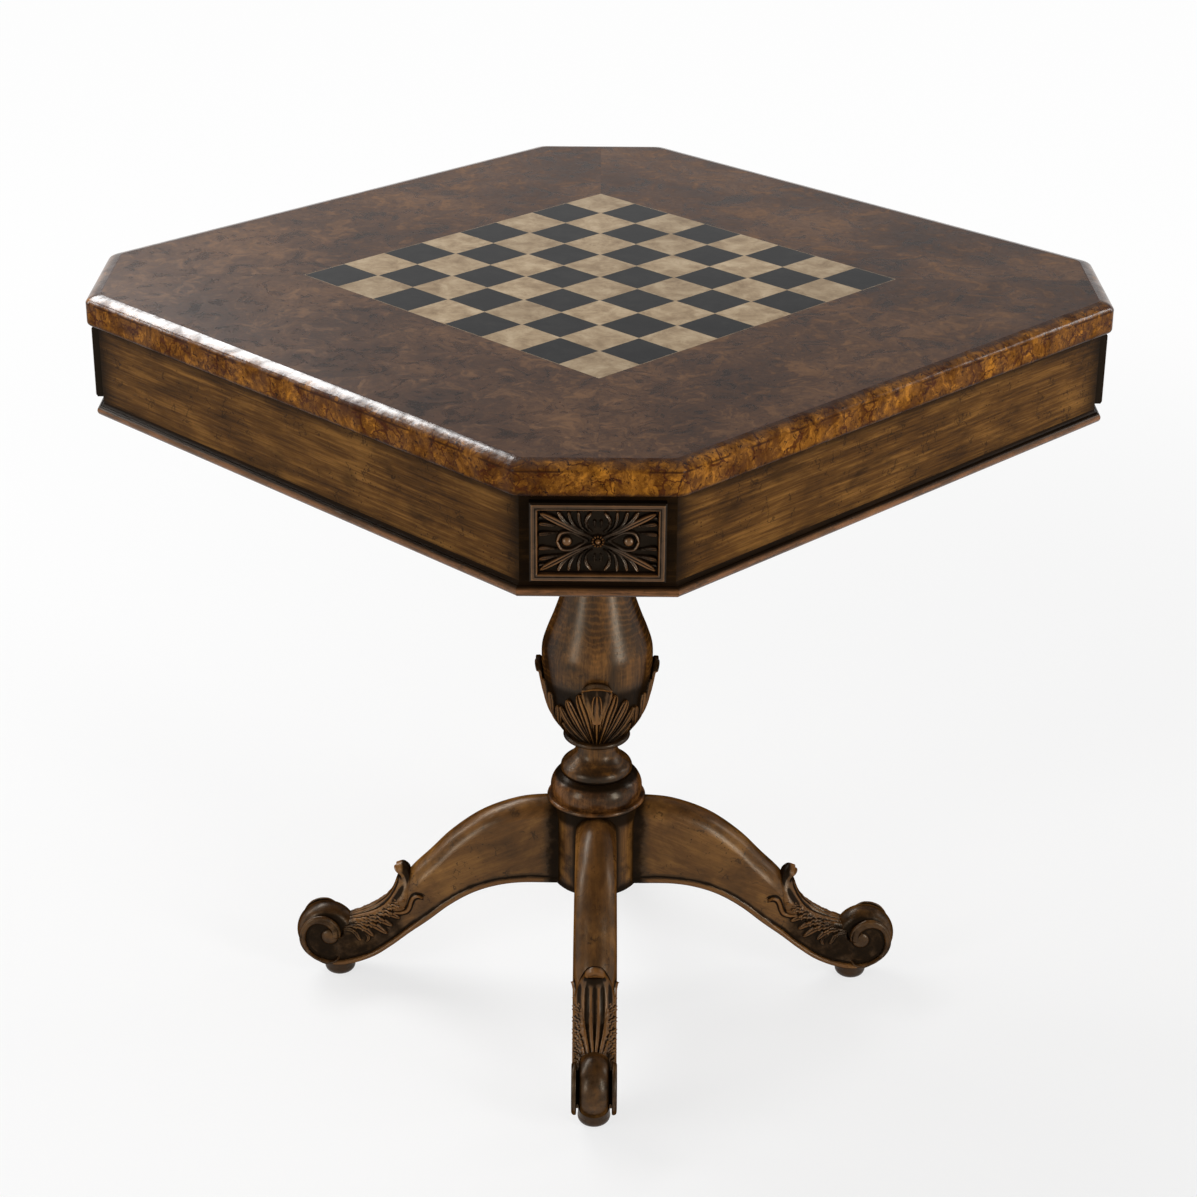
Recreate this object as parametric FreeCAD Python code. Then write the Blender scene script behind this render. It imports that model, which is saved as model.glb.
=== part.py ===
import FreeCAD
import Part
import math
import os

# Games table with canted corners on a turned pedestal and four carved scroll legs.
# Millimetres, +Z up, origin on the floor under the middle of the top.
# The long sides of the top face -Y, +X, +Y and -X, and the legs point to the canted corners.

Vector = FreeCAD.Vector

# Overall sizes
table_height = 762.0
top_width = 762.0
top_cant_length = 134.0
overrun = 2.0

# Top: core panel, edge lippings, burl veneer and playing board
top_thickness = 29.0
veneer_thickness = 1.5
edge_width = 26.0
edge_corner_radius = 12.0
edge_arris_radius = 4.0
bevel_width = 13.0
bevel_drop = 7.0
bevel_curve_shares = ((0.0, 0.0), (0.14, 0.42), (0.48, 0.80), (1.0, 1.0))
squares_per_side = 8
square_side = 49.0
dark_square_margin = 0.5

# Apron frame and its mouldings
apron_setback = 10.0
apron_depth = 88.0
apron_thickness = 20.0
bead_height = 9.0
bead_projection = 6.0
bead_flat = 3.0
cove_height = 4.0
cove_projection = 2.0
cove_hollow_share = 0.33

# Carved rosette plates on the canted corners
plate_width = 109.0
plate_height = 68.0
plate_thickness = 8.5
plate_drop = 5.5
plate_edge_radius = 1.8
plate_frame_width = 7.0
plate_bevel_width = 2.0
plate_field_depth = 4.5
rosette_boss_radius = 5.0
rosette_relief = 3.5
rosette_leaf_width = 10.0
rosette_shell_width = 15.0
rosette_eye_width = 11.0
# Reach of the leaves in the sunk field, and the ridge that each one is drawn in to
rosette_root_share = 0.6
rosette_corner_shares = (0.94, 0.88)
rosette_eye_share = 0.80
rosette_shell_share = 0.96
ridge_end_share = 0.12
ridge_width_share = 0.33

# Blocks and rails inside the frame
corner_block_leg = 30.0
corner_block_height = 66.0
glue_block_section = 22.0
glue_block_length = 60.0
rail_width = 45.0
rail_height = 22.0
mounting_block_width = 240.0
mounting_block_height = 30.0
mounting_block_chamfer = 6.0

# Hub, collar and their levels
hub_radius = 43.7
hub_bottom = 115.0
hub_top = 208.5
hub_chamfer = 2.0
ring_radius = 50.0
ring_height = 5.5
ring_bulge = 1.8
torus_radius = 46.5
torus_height = 26.0
torus_top_radius = 36.0
torus_foot_radius = 44.5

# Baluster: bell, neck, cup ring, leaf cup and pear
spigot_radius = 14.0
spigot_length = 20.0
bell_radius = 36.0
bell_height = 24.0
neck_radius = 21.3
neck_height = 13.0
cup_ring_radius = 33.8
cup_ring_height = 7.0
cup_wall = 3.0
cup_height = 57.0
cup_radius = 54.6
pear_radius = 55.5
pear_rise = 87.0
pear_neck_radius = 23.0
pear_neck_rise = 244.0
astragal_radius = 31.0
astragal_height = 12.0
capital_radius = 44.0
capital_height = 62.0
drum_radius = 48.0
top_spigot_radius = 23.0
top_spigot_length = 10.0

# Root and middle of the pear's bowl: share of its radius, share of its rise to the widest place
pear_bowl_shares = ((0.53, 0.00), (0.85, 0.37))
# Middle and end of its shoulder and middle of its neck, as shares of the way from the widest place
pear_shoulder_share = (0.83, 0.166)
pear_turn_share = (0.45, 0.39)
pear_hollow_share = (0.12, 0.69)
# Bell: share of the way from the neck's radius to its own, share of its height
bell_shares = ((1.0, 0.125), (0.64, 0.52), (0.10, 0.84), (0.0, 1.0))
# Cup ring: share of its radius, share of its height
cup_ring_shares = ((0.90, 0.12), (1.0, 0.50), (0.975, 0.85))
# Torus of the collar: height of its widest place
torus_nose_share = 0.34
# Top of the pear: neck fillets as shares of the neck's radius, hollow of the capital
neck_fillet_share = 1.08
capital_hollow_shares = (1.22, 0.62)
# Outside of the leaf cup: share of its radius, share of its height
cup_shares = ((0.585, 0.0), (0.925, 0.54), (1.0, 1.0))

# Acanthus leaves of the cup: a curled tip and two side lobes on each hand
leaf_count = 4
tip_rise = 26.0
tip_width = 27.0
tip_projection = 7.5
# Side view of a curled tip from its root on the cup: share of the projection, share of the rise
tip_outer_shares = ((-0.45, -0.95), (0.0, 0.0), (0.45, 0.45), (1.0, 0.75))
tip_roll_shares = (0.9, 0.95)
tip_crest_share = 0.3
tip_inner_shares = ((-0.30, 0.45), (-0.62, 0.0), (-1.0, -0.95))
lobe_width = 13.5
lobe_angles = (-38.0, -21.0, 21.0, 38.0)
lobe_rise = 5.0
lobe_flare = 0.8
flute_width = 1.6
flute_depth = 1.4
flute_angles = (-29.5, -12.5, 0.0, 12.5, 29.5)

# Scroll legs
leg_angle_first = -45.0
leg_width = 43.5
leg_reach = 280.5
leg_crown = 14.0
leg_bead_height = 6.0
leg_bead_projection = 1.5
scroll_height = 49.0
scroll_radius = 30.0
scroll_rim_radius = 28.0
scroll_rim_width = 7.0
scroll_groove_width = 2.0
scroll_groove_depth = 4.5
scroll_recess = 2.0
scroll_eye_radius = 5.0
scroll_band_width = 4.2

# Stations of the leg, each with a point of the crown line and one of the underside. The way out is a
# share of the distance from the hub's face to the scroll's middle. The rise of the crown is a share of
# that from the scroll's middle to the hub's top, and the rise of the underside a share of that from the
# scroll's lowest level to the leg's flat start.
leg_shares = (
    ((-0.041, 1.000), (-0.041, 1.000)),
    ((0.035, 0.997), (0.035, 1.000)),
    ((0.145, 0.975), (0.149, 0.998)),
    ((0.301, 0.887), (0.255, 0.954)),
    ((0.445, 0.730), (0.360, 0.859)),
    ((0.538, 0.589), (0.455, 0.714)),
    ((0.622, 0.464), (0.540, 0.545)),
    ((0.685, 0.335), (0.621, 0.389)),
    ((0.749, 0.229), (0.704, 0.216)),
    ((0.829, 0.157), (0.799, 0.057)),
    ((0.905, 0.114), (0.897, -0.002)),
    ((0.964, 0.085), (0.970, 0.023)),
)

# Spiral of the scroll round its eye, drawn as arcs that shrink from one to the next. Each point is the
# turn in degrees from straight down and its distance as a share of the rim radius.
spiral_eye_shares = (-0.145, 0.215)
spiral_shares = ((0, 1.205), (90, 1.14), (180, 0.79), (270, 0.43), (360, 0.31), (405, 0.26), (450, 0.20))

# Acanthus leaf of the leg: its curled tip and the spread of the leaf towards the scroll
leaf_tip_width = 31.0
# Front view of the tip from its root: share of half the width, share of the rise
leaf_tip_front_shares = ((1.0, 0.0), (1.0, 0.48), (0.86, 0.78), (0.56, 0.95), (0.0, 1.0))
# Side view of the tip, inside the leg first, in the shares of the crown line
leaf_tip_shares = ((0.611, 0.425), (0.626, 0.477), (0.638, 0.501), (0.663, 0.519), (0.690, 0.493),
                   (0.701, 0.458), (0.694, 0.399), (0.706, 0.334), (0.751, 0.248), (0.728, 0.189))
# Fingers of the leaf on each flank: root and point, in the same shares
finger_shares = (
    ((0.733, 0.235), (0.607, 0.288)),
    ((0.763, 0.203), (0.645, 0.183)),
    ((0.796, 0.170), (0.694, 0.092)),
    ((0.832, 0.137), (0.751, 0.006)),
    ((0.870, 0.105), (0.808, -0.052)),
)
finger_width = 9.0
finger_relief = 1.3
finger_bow_shares = (0.72, 0.28)

# Pad feet
pad_radius = 15.5
pad_base_radius = 9.5
pad_height = 26.0
pad_waist_height = 9.0
# Middle of the pad's rounded edge: share of the way from its base to its side, share of its height
pad_round_shares = (0.80, 0.28)
pad_setback = 12.5
pad_stem_radius = 5.0
pad_stem_length = 18.0

# Steel plate, tie rod and fasteners
plate_steel_thickness = 3.0
plate_steel_width = 30.0
plate_steel_reach = 80.0
rod_radius = 5.0
rod_clearance = 0.6
rod_end = 3.0
nut_flats = 17.0
nut_height = 8.0
washer_radius = 12.0
washer_height = 2.5
nut_recess_radius = 14.0
nut_recess_depth = 15.0
dowel_radius = 6.0
dowel_length = 58.0
dowel_seat = 25.0
dowel_rise_shares = (0.32, 0.77)
screw_radius = 2.5
screw_head_radius = 5.0
screw_head_height = 3.0
plate_screw_length = 23.0
plate_screw_shares = (0.31, 0.75)
block_screw_length = 42.0
block_screw_share = 0.77
rail_screw_length = 36.0
rail_screw_share = 0.81

# Levels and distances that follow from the sizes above
top_underside = table_height - top_thickness
veneer_seat = table_height - veneer_thickness
apron_bottom = top_underside - apron_depth
collar_top = hub_top + ring_height + torus_height
bell_top = collar_top + bell_height
cup_ring_bottom = bell_top + neck_height
cup_bottom = cup_ring_bottom + cup_ring_height
pear_waist = cup_bottom + pear_rise
pear_neck = cup_bottom + pear_neck_rise
column_top = top_underside - mounting_block_height
board_side = squares_per_side * square_side
leg_under = hub_bottom + plate_steel_thickness
scroll_low = scroll_height - scroll_radius
pad_place = leg_reach - pad_setback
octagon_turn = 45.0
mitre_tangent = math.tan(math.radians(octagon_turn / 2))

long_sides = (("front", -90.0), ("right", 0.0), ("back", 90.0), ("left", 180.0))
cant_sides = (("front_right", -45.0), ("back_right", 45.0), ("back_left", 135.0), ("front_left", 225.0))

parts = {}


def side_distance(angle, inset):
    """Distance from the middle of the table to a side of the top's outline, moved in by inset."""
    if angle % 90 == 0:
        return top_width / 2 - inset
    return top_width / 2 * math.sqrt(2) - top_cant_length / 2 - inset


def side_half_length(angle, inset):
    """Half the length of that side."""
    if angle % 90 == 0:
        return top_width / 2 - top_cant_length / math.sqrt(2) - inset * mitre_tangent
    return top_cant_length / 2 - inset * mitre_tangent


def turned(shape, angle):
    """Copy of a shape that was drawn towards +X, turned about the middle of the table."""
    copy = shape.copy()
    copy.rotate(Vector(0, 0, 0), Vector(0, 0, 1), angle)
    return copy


def polygon_face(points):
    return Part.Face(Part.makePolygon(list(points) + [points[0]]))


def prism(points, low, high):
    """Upright prism over (x, y) points between two levels."""
    face = polygon_face([Vector(x, y, low) for x, y in points])
    return face.extrude(Vector(0, 0, high - low))


def box(x0, x1, y0, y1, z0, z1):
    return Part.makeBox(x1 - x0, y1 - y0, z1 - z0, Vector(x0, y0, z0))


def revolved(edges):
    """Solid of revolution about the Z axis from edges in the XZ plane."""
    face = Part.Face(Part.Wire(edges))
    return face.revolve(Vector(0, 0, 0), Vector(0, 0, 1), 360)


def at(radius, height):
    return Vector(radius, 0, height)


def line(start, end):
    return Part.makeLine(start, end)


def arc(start, middle, end):
    return Part.Arc(start, middle, end).toShape()


def spline(points):
    curve = Part.BSplineCurve()
    curve.interpolate(points)
    return curve.toShape()


def upright_cylinder(radius, low, high, x=0.0, y=0.0):
    return Part.makeCylinder(radius, high - low, Vector(x, y, low))


def save(name, shape):
    parts[name] = shape


# Octagonal outlines of the top

def octagon_corners(inset):
    """Corners of the top's outline moved in by inset, anticlockwise, as (x, y)."""
    corners = []
    for name, angle in sorted(long_sides + cant_sides, key=lambda side: side[1]):
        radians = math.radians(angle)
        distance = side_distance(angle, inset)
        half = side_half_length(angle, inset)
        corners.append((distance * math.cos(radians) + half * math.sin(radians),
                        distance * math.sin(radians) - half * math.cos(radians)))
    return corners


def rounded_octagon(inset, height):
    """The same outline as a wire with softened corners."""
    corners = [Vector(x, y, height) for x, y in octagon_corners(inset)]
    tangent = edge_corner_radius * mitre_tangent
    arcs = []
    for index, corner in enumerate(corners):
        back = (corners[index - 1] - corner).normalize()
        ahead = (corners[(index + 1) % len(corners)] - corner).normalize()
        inward = (back + ahead).normalize()
        centre = corner + inward * (edge_corner_radius / math.cos(math.radians(octagon_turn / 2)))
        middle = centre - inward * edge_corner_radius
        arcs.append((corner + back * tangent, middle, corner + ahead * tangent))
    edges = []
    for index, (start, middle, end) in enumerate(arcs):
        edges.append(arc(start, middle, end))
        edges.append(line(end, arcs[(index + 1) % len(arcs)][0]))
    return Part.Wire(edges)


def side_wedge(angle, outer_inset, inner_inset, low, high):
    """Trapezoid prism that holds one side of a mitred frame, ready in place."""
    outer = side_distance(angle, outer_inset)
    inner = side_distance(angle, inner_inset)
    outer_half = side_half_length(angle, outer_inset)
    inner_half = side_half_length(angle, inner_inset)
    points = [(inner, -inner_half), (outer, -outer_half), (outer, outer_half), (inner, inner_half)]
    return turned(prism(points, low, high), angle)


# Top

def make_core_panel():
    save("top_core_panel", prism(octagon_corners(edge_width), top_underside, veneer_seat))


def edge_ring():
    """All eight lippings in one: rounded arris below, curved bevel above, seat for the veneer inside."""
    bevel_foot = table_height - bevel_drop
    lower = Part.Face(rounded_octagon(0, top_underside)).extrude(Vector(0, 0, bevel_foot - top_underside))
    low_edges = [edge for edge in lower.Edges if edge.BoundBox.ZMax < top_underside + edge_arris_radius / 2]
    lower = lower.makeFillet(edge_arris_radius, low_edges)
    wires = []
    for inward_share, rise_share in bevel_curve_shares:
        wires.append(rounded_octagon(bevel_width * inward_share, bevel_foot + bevel_drop * rise_share))
    upper = Part.makeLoft(wires, True, False)
    ring = lower.fuse(upper)
    ring = ring.cut(prism(octagon_corners(edge_width), top_underside - overrun, table_height + overrun))
    seat = Part.Face(rounded_octagon(bevel_width, veneer_seat))
    return ring.cut(seat.extrude(Vector(0, 0, veneer_thickness + overrun)))


def make_edge_lippings():
    ring = edge_ring()
    for group, sides in (("top_edge_long", long_sides), ("top_edge_cant", cant_sides)):
        for name, angle in sides:
            wedge = side_wedge(angle, -overrun, edge_width + overrun, top_underside - overrun,
                               table_height + overrun)
            save(group + "_" + name, ring.common(wedge))


def make_border_veneers():
    """Four burl sheets between the board and the bevel, mitred along the diagonals."""
    sheet = Part.Face(rounded_octagon(bevel_width, veneer_seat)).extrude(Vector(0, 0, veneer_thickness))
    half = board_side / 2
    sheet = sheet.cut(box(-half, half, -half, half, veneer_seat - overrun, table_height + overrun))
    for name, angle in long_sides:
        quarter = prism([(0, 0), (top_width, -top_width), (top_width, top_width)],
                        veneer_seat - overrun, table_height + overrun)
        save("border_veneer_" + name, sheet.common(turned(quarter, angle)))


def make_board():
    """Light ground with the 32 dark squares let into it. The near right-hand square is light."""
    half = board_side / 2
    ground = box(-half, half, -half, half, veneer_seat, table_height)
    dark = []
    side = square_side - 2 * dark_square_margin
    for row in range(squares_per_side):
        for column in range(squares_per_side):
            if (row + column) % 2 == 0:
                x = -half + column * square_side + dark_square_margin
                y = -half + row * square_side + dark_square_margin
                dark.append(box(x, x + side, y, y + side, veneer_seat, table_height))
    squares = Part.makeCompound(dark)
    save("board_light_ground", ground.cut(squares))
    save("board_dark_squares", squares)


# Apron frame

def make_apron():
    for group, sides in (("apron_long", long_sides), ("apron_cant", cant_sides)):
        for name, angle in sides:
            board = side_wedge(angle, apron_setback, apron_setback + apron_thickness,
                               apron_bottom, top_underside)
            save(group + "_" + name, board)


def base_moulding_profile(face):
    """Bead with a small cove above it, in the XZ plane against a face at x = face."""
    bead_top = apron_bottom + bead_height
    cove_top = bead_top + cove_height
    flat = face + bead_flat
    nose = at(face + bead_projection, apron_bottom + bead_height / 2)
    cove_foot = at(face + cove_projection, bead_top)
    hollow = at(face + cove_projection * cove_hollow_share, bead_top + cove_height * cove_hollow_share)
    edges = [line(at(face, apron_bottom), at(flat, apron_bottom)),
             arc(at(flat, apron_bottom), nose, at(flat, bead_top)),
             line(at(flat, bead_top), cove_foot),
             arc(cove_foot, hollow, at(face, cove_top)),
             line(at(face, cove_top), at(face, apron_bottom))]
    return Part.Face(Part.Wire(edges))


def make_base_mouldings():
    for group, sides in (("base_moulding_long", long_sides), ("base_moulding_cant", cant_sides)):
        for name, angle in sides:
            face = side_distance(angle, apron_setback)
            reach = side_half_length(angle, apron_setback) + bead_projection
            run = base_moulding_profile(face)
            run.translate(Vector(0, -reach, 0))
            run = turned(run.extrude(Vector(0, 2 * reach, 0)), angle)
            wedge = side_wedge(angle, apron_setback - bead_projection - overrun, apron_setback,
                               apron_bottom - overrun, top_underside)
            save(group + "_" + name, run.common(wedge))


# Rosette plates. They are drawn towards +X: x is the relief, y runs across and z up.

def leaf_relief_shape(base, root, point, width, height):
    """Raised leaf on the plane x = base: two arcs from root to point, drawn in towards a ridge."""
    root_point = Vector(base, root[0], root[1])
    end_point = Vector(base, point[0], point[1])
    along = end_point - root_point
    across = Vector(0, -along.z, along.y).normalize()
    middle = (root_point + end_point) / 2
    low_wire = Part.Wire([arc(root_point, middle + across * (width / 2), end_point),
                          arc(end_point, middle - across * (width / 2), root_point)])
    lift = Vector(height, 0, 0)
    inner_root = root_point + along * ridge_end_share + lift
    inner_end = end_point - along * ridge_end_share + lift
    ridge = across * (width / 2 * ridge_width_share)
    high_wire = Part.Wire([arc(inner_root, middle + ridge + lift, inner_end),
                           arc(inner_end, middle - ridge + lift, inner_root)])
    return Part.makeLoft([low_wire, high_wire], True, True)


def rosette_plate():
    """Moulded frame round a sunk field with a boss, four long leaves, two eyes and two shells."""
    middle = top_underside - plate_drop - plate_height / 2
    half_width = plate_width / 2
    half_height = plate_height / 2
    plate = box(0, plate_thickness, -half_width, half_width, middle - half_height, middle + half_height)
    front_edges = [edge for edge in plate.Edges if edge.BoundBox.XMin > plate_thickness / 2]
    plate = plate.makeFillet(plate_edge_radius, front_edges)
    floor = plate_thickness - plate_field_depth
    outer = (half_width - plate_frame_width, half_height - plate_frame_width)
    inner = (outer[0] - plate_bevel_width, outer[1] - plate_bevel_width)

    def field(size, x):
        width, height = size
        return Part.makePolygon([Vector(x, -width, middle - height), Vector(x, width, middle - height),
                                 Vector(x, width, middle + height), Vector(x, -width, middle + height),
                                 Vector(x, -width, middle - height)])

    plate = plate.cut(Part.makeLoft([field(inner, floor), field(outer, plate_thickness)], True, True))
    corner = (inner[0] * rosette_corner_shares[0], inner[1] * rosette_corner_shares[1])
    start = rosette_boss_radius * rosette_root_share
    centre = Vector(floor, 0, middle)
    carving = Part.makeCylinder(rosette_boss_radius, rosette_relief, centre, Vector(1, 0, 0))
    leaves = []
    for side in (-1, 1):
        for rise in (-1, 1):
            leaves.append(((side * start, middle + rise * start),
                           (side * corner[0], middle + rise * corner[1]), rosette_leaf_width))
        eye_end = side * inner[0] * rosette_eye_share
        shell_end = middle + side * inner[1] * rosette_shell_share
        leaves.append(((side * start, middle), (eye_end, middle), rosette_eye_width))
        leaves.append(((0, middle + side * start), (0, shell_end), rosette_shell_width))
    for root, point, width in leaves:
        carving = carving.fuse(leaf_relief_shape(floor, root, point, width, rosette_relief))
    return plate.fuse(carving)


def make_rosette_plates():
    plate = rosette_plate()
    for name, angle in cant_sides:
        placed = plate.copy()
        placed.translate(Vector(side_distance(angle, apron_setback), 0, 0))
        save("rosette_plate_" + name, turned(placed, angle))


# Inside the frame

def make_frame_blocks():
    """Triangular corner blocks in the eight angles, and glue blocks under the top."""
    inset = apron_setback + apron_thickness
    corners = octagon_corners(inset)
    blocks = []
    low = top_underside - corner_block_height
    for index, corner in enumerate(corners):
        corner = Vector(corner[0], corner[1], 0)
        points = [corner]
        for neighbour in (corners[index - 1], corners[(index + 1) % len(corners)]):
            way = (Vector(neighbour[0], neighbour[1], 0) - corner).normalize()
            points.append(corner + way * corner_block_leg)
        blocks.append(prism([(point.x, point.y) for point in points], low, top_underside))
    save("corner_blocks", Part.makeCompound(blocks))
    blocks = []
    rail_outside = mounting_block_width / 2 + rail_width
    for name, angle in long_sides:
        face = side_distance(angle, inset)
        place = (rail_outside + side_half_length(angle, inset) - corner_block_leg) / 2
        for side in (-1, 1):
            middle = side * place
            block = box(face - glue_block_section, face, middle - glue_block_length / 2,
                        middle + glue_block_length / 2, top_underside - glue_block_section, top_underside)
            blocks.append(turned(block, angle))
    save("glue_blocks", Part.makeCompound(blocks))


def screw_up(x, y, head_level, length):
    """Countersunk wood screw driven upwards, its head flush with head_level."""
    head = Part.makeCone(screw_head_radius, screw_radius, screw_head_height, Vector(x, y, head_level))
    return head.fuse(upright_cylinder(screw_radius, head_level, head_level + length, x, y))


def cut_all(shape, tools):
    for tool in tools:
        shape = shape.cut(tool)
    return shape


def block_screws():
    place = mounting_block_width / 2 * block_screw_share
    places = [(x, y) for x in (-place, place) for y in (-place, place)]
    return [screw_up(x, y, column_top, block_screw_length) for x, y in places]


def rail_screws():
    middle = (mounting_block_width + rail_width) / 2
    place = side_distance(0, apron_setback + apron_thickness) * rail_screw_share
    places = [(x, y) for x in (-middle, middle) for y in (-place, place)]
    return [screw_up(x, y, top_underside - rail_height, rail_screw_length) for x, y in places]


def make_top_carriers():
    """Mounting block for the baluster between two cross rails, all under the core panel."""
    half = mounting_block_width / 2
    block = box(-half, half, -half, half, column_top, top_underside)
    low_edges = [edge for edge in block.Edges if edge.BoundBox.ZMax < column_top + mounting_block_chamfer]
    block = block.makeChamfer(mounting_block_chamfer, low_edges)
    socket = upright_cylinder(top_spigot_radius, column_top - overrun, column_top + top_spigot_length)
    block = block.cut(socket)
    block = block.cut(upright_cylinder(rod_radius + rod_clearance, column_top, top_underside))
    block = block.cut(upright_cylinder(nut_recess_radius, top_underside - nut_recess_depth,
                                       top_underside + overrun))
    save("mounting_block", cut_all(block, block_screws()))
    reach = side_distance(0, apron_setback + apron_thickness)
    for name, side in (("left", -1), ("right", 1)):
        low = min(side * half, side * (half + rail_width))
        rail = box(low, low + rail_width, -reach, reach, top_underside - rail_height, top_underside)
        save("cross_rail_" + name, cut_all(rail, rail_screws()))
    parts["top_core_panel"] = cut_all(parts["top_core_panel"], block_screws() + rail_screws())
    save("block_screws", Part.makeCompound(block_screws()))
    save("rail_screws", Part.makeCompound(rail_screws()))


# Pedestal

def rod_hole():
    return upright_cylinder(rod_radius + rod_clearance, -overrun, table_height)


def baluster_outline():
    """Half outline of the turning from its lower spigot to the one at the top."""
    flare = bell_radius - neck_radius
    bell = [at(neck_radius + flare * radius_share, collar_top + bell_height * rise_share)
            for radius_share, rise_share in bell_shares]
    ring = [at(cup_ring_radius * radius_share, cup_ring_bottom + cup_ring_height * rise_share)
            for radius_share, rise_share in cup_ring_shares]
    bowl = [at(pear_radius * radius_share, cup_bottom + pear_rise * rise_share)
            for radius_share, rise_share in pear_bowl_shares]
    waist = at(pear_radius, pear_waist)
    shoulder, turn, neck_hollow = [
        at(pear_neck_radius + (pear_radius - pear_neck_radius) * radius_share,
           pear_waist + (pear_neck - pear_waist) * rise_share)
        for radius_share, rise_share in (pear_shoulder_share, pear_turn_share, pear_hollow_share)]
    astragal_top = pear_neck + astragal_height
    capital_top = astragal_top + capital_height
    fillet = pear_neck_radius * neck_fillet_share
    hollow = at(pear_neck_radius * capital_hollow_shares[0],
                astragal_top + capital_height * capital_hollow_shares[1])
    spigot_foot = hub_top - spigot_length
    spigot_top = column_top + top_spigot_length
    return [line(at(0, spigot_foot), at(spigot_radius, spigot_foot)),
            line(at(spigot_radius, spigot_foot), at(spigot_radius, collar_top)),
            line(at(spigot_radius, collar_top), at(bell_radius, collar_top)),
            line(at(bell_radius, collar_top), bell[0]),
            spline(bell),
            line(at(neck_radius, bell_top), at(neck_radius, cup_ring_bottom)),
            arc(at(neck_radius, cup_ring_bottom), ring[0], ring[1]),
            arc(ring[1], ring[2], bowl[0]),
            arc(bowl[0], bowl[1], waist),
            arc(waist, shoulder, turn),
            arc(turn, neck_hollow, at(pear_neck_radius, pear_neck)),
            line(at(pear_neck_radius, pear_neck), at(fillet, pear_neck)),
            arc(at(fillet, pear_neck), at(astragal_radius, pear_neck + astragal_height / 2),
                at(fillet, astragal_top)),
            arc(at(fillet, astragal_top), hollow, at(capital_radius, capital_top)),
            line(at(capital_radius, capital_top), at(drum_radius, capital_top)),
            line(at(drum_radius, capital_top), at(drum_radius, column_top)),
            line(at(drum_radius, column_top), at(top_spigot_radius, column_top)),
            line(at(top_spigot_radius, column_top), at(top_spigot_radius, spigot_top)),
            line(at(top_spigot_radius, spigot_top), at(0, spigot_top)),
            line(at(0, spigot_top), at(0, spigot_foot))]


def cup_curve(offset):
    """Outside of the leaf cup, moved out by offset."""
    return [at(cup_radius * radius_share + offset, cup_bottom + cup_height * rise_share)
            for radius_share, rise_share in cup_shares]


def cup_shell():
    """Leaf cup up to the level where the lobes part."""
    outer = cup_curve(0)
    inner = cup_curve(-2 * cup_wall)
    return revolved([arc(*outer), line(outer[-1], inner[-1]), arc(*inner[::-1]), line(inner[0], outer[0])])


def petal_trim(width, low, high):
    """Round-topped blade in the YZ plane, as deep as the cup, that cuts a lobe out of a shell."""
    half = width / 2
    shoulder = high - half
    edges = [line(Vector(0, -half, low), Vector(0, half, low)),
             line(Vector(0, half, low), Vector(0, half, shoulder)),
             arc(Vector(0, half, shoulder), Vector(0, 0, high), Vector(0, -half, shoulder)),
             line(Vector(0, -half, shoulder), Vector(0, -half, low))]
    return Part.Face(Part.Wire(edges)).extrude(Vector(pear_radius + tip_projection + overrun, 0, 0))


def curled_tip():
    """Middle lobe of a leaf, rising from the cup's rim and rolling outwards."""
    rim = cup_bottom + cup_height

    def place(shares):
        return at(cup_radius + tip_projection * shares[0], rim + tip_rise * shares[1])

    outer = [place(shares) for shares in tip_outer_shares]
    crest = place((tip_crest_share, 1.0))
    inner = [crest] + [place(shares) for shares in tip_inner_shares]
    band = revolved([spline(outer), arc(outer[-1], place(tip_roll_shares), crest), spline(inner),
                     line(inner[-1], outer[0])])
    return band.common(petal_trim(tip_width, outer[0].z - overrun, rim + tip_rise + overrun))


def side_lobe(angle):
    rim = cup_bottom + cup_height
    root = rim - lobe_width
    outer = [at(cup_radius, root), at(cup_radius + lobe_flare, rim + lobe_rise)]
    inner = [at(cup_radius - cup_wall, rim + lobe_rise), at(cup_radius - cup_wall, root)]
    band = revolved([line(outer[0], outer[1]), line(outer[1], inner[0]), line(inner[0], inner[1]),
                     line(inner[1], outer[0])])
    return turned(band.common(petal_trim(lobe_width, root - overrun, rim + lobe_rise)), angle)


def flutes(angle):
    """Grooves between the lobes of one leaf, cut into the cup along its height."""
    outer = cup_curve(overrun)
    inner = cup_curve(-flute_depth)
    band = revolved([arc(*outer), line(outer[-1], inner[-1]), arc(*inner[::-1]), line(inner[0], outer[0])])
    cuts = []
    for flute_angle in flute_angles:
        blade = box(0, cup_radius + 2 * overrun, -flute_width / 2, flute_width / 2, cup_bottom,
                    cup_bottom + cup_height + overrun)
        cuts.append(band.common(turned(blade, angle + flute_angle)))
    return cuts


def make_baluster():
    turning = revolved(baluster_outline())
    shell = cup_shell()
    tip = curled_tip()
    cuts = []
    for index in range(leaf_count):
        angle = leg_angle_first + index * 360 / leaf_count
        cuts += flutes(angle)
        shell = shell.fuse(turned(tip, angle))
        for lobe_angle in lobe_angles:
            shell = shell.fuse(side_lobe(angle + lobe_angle))
    shell = cut_all(shell, cuts)
    save("baluster", turning.fuse(shell).cut(rod_hole()))


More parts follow.
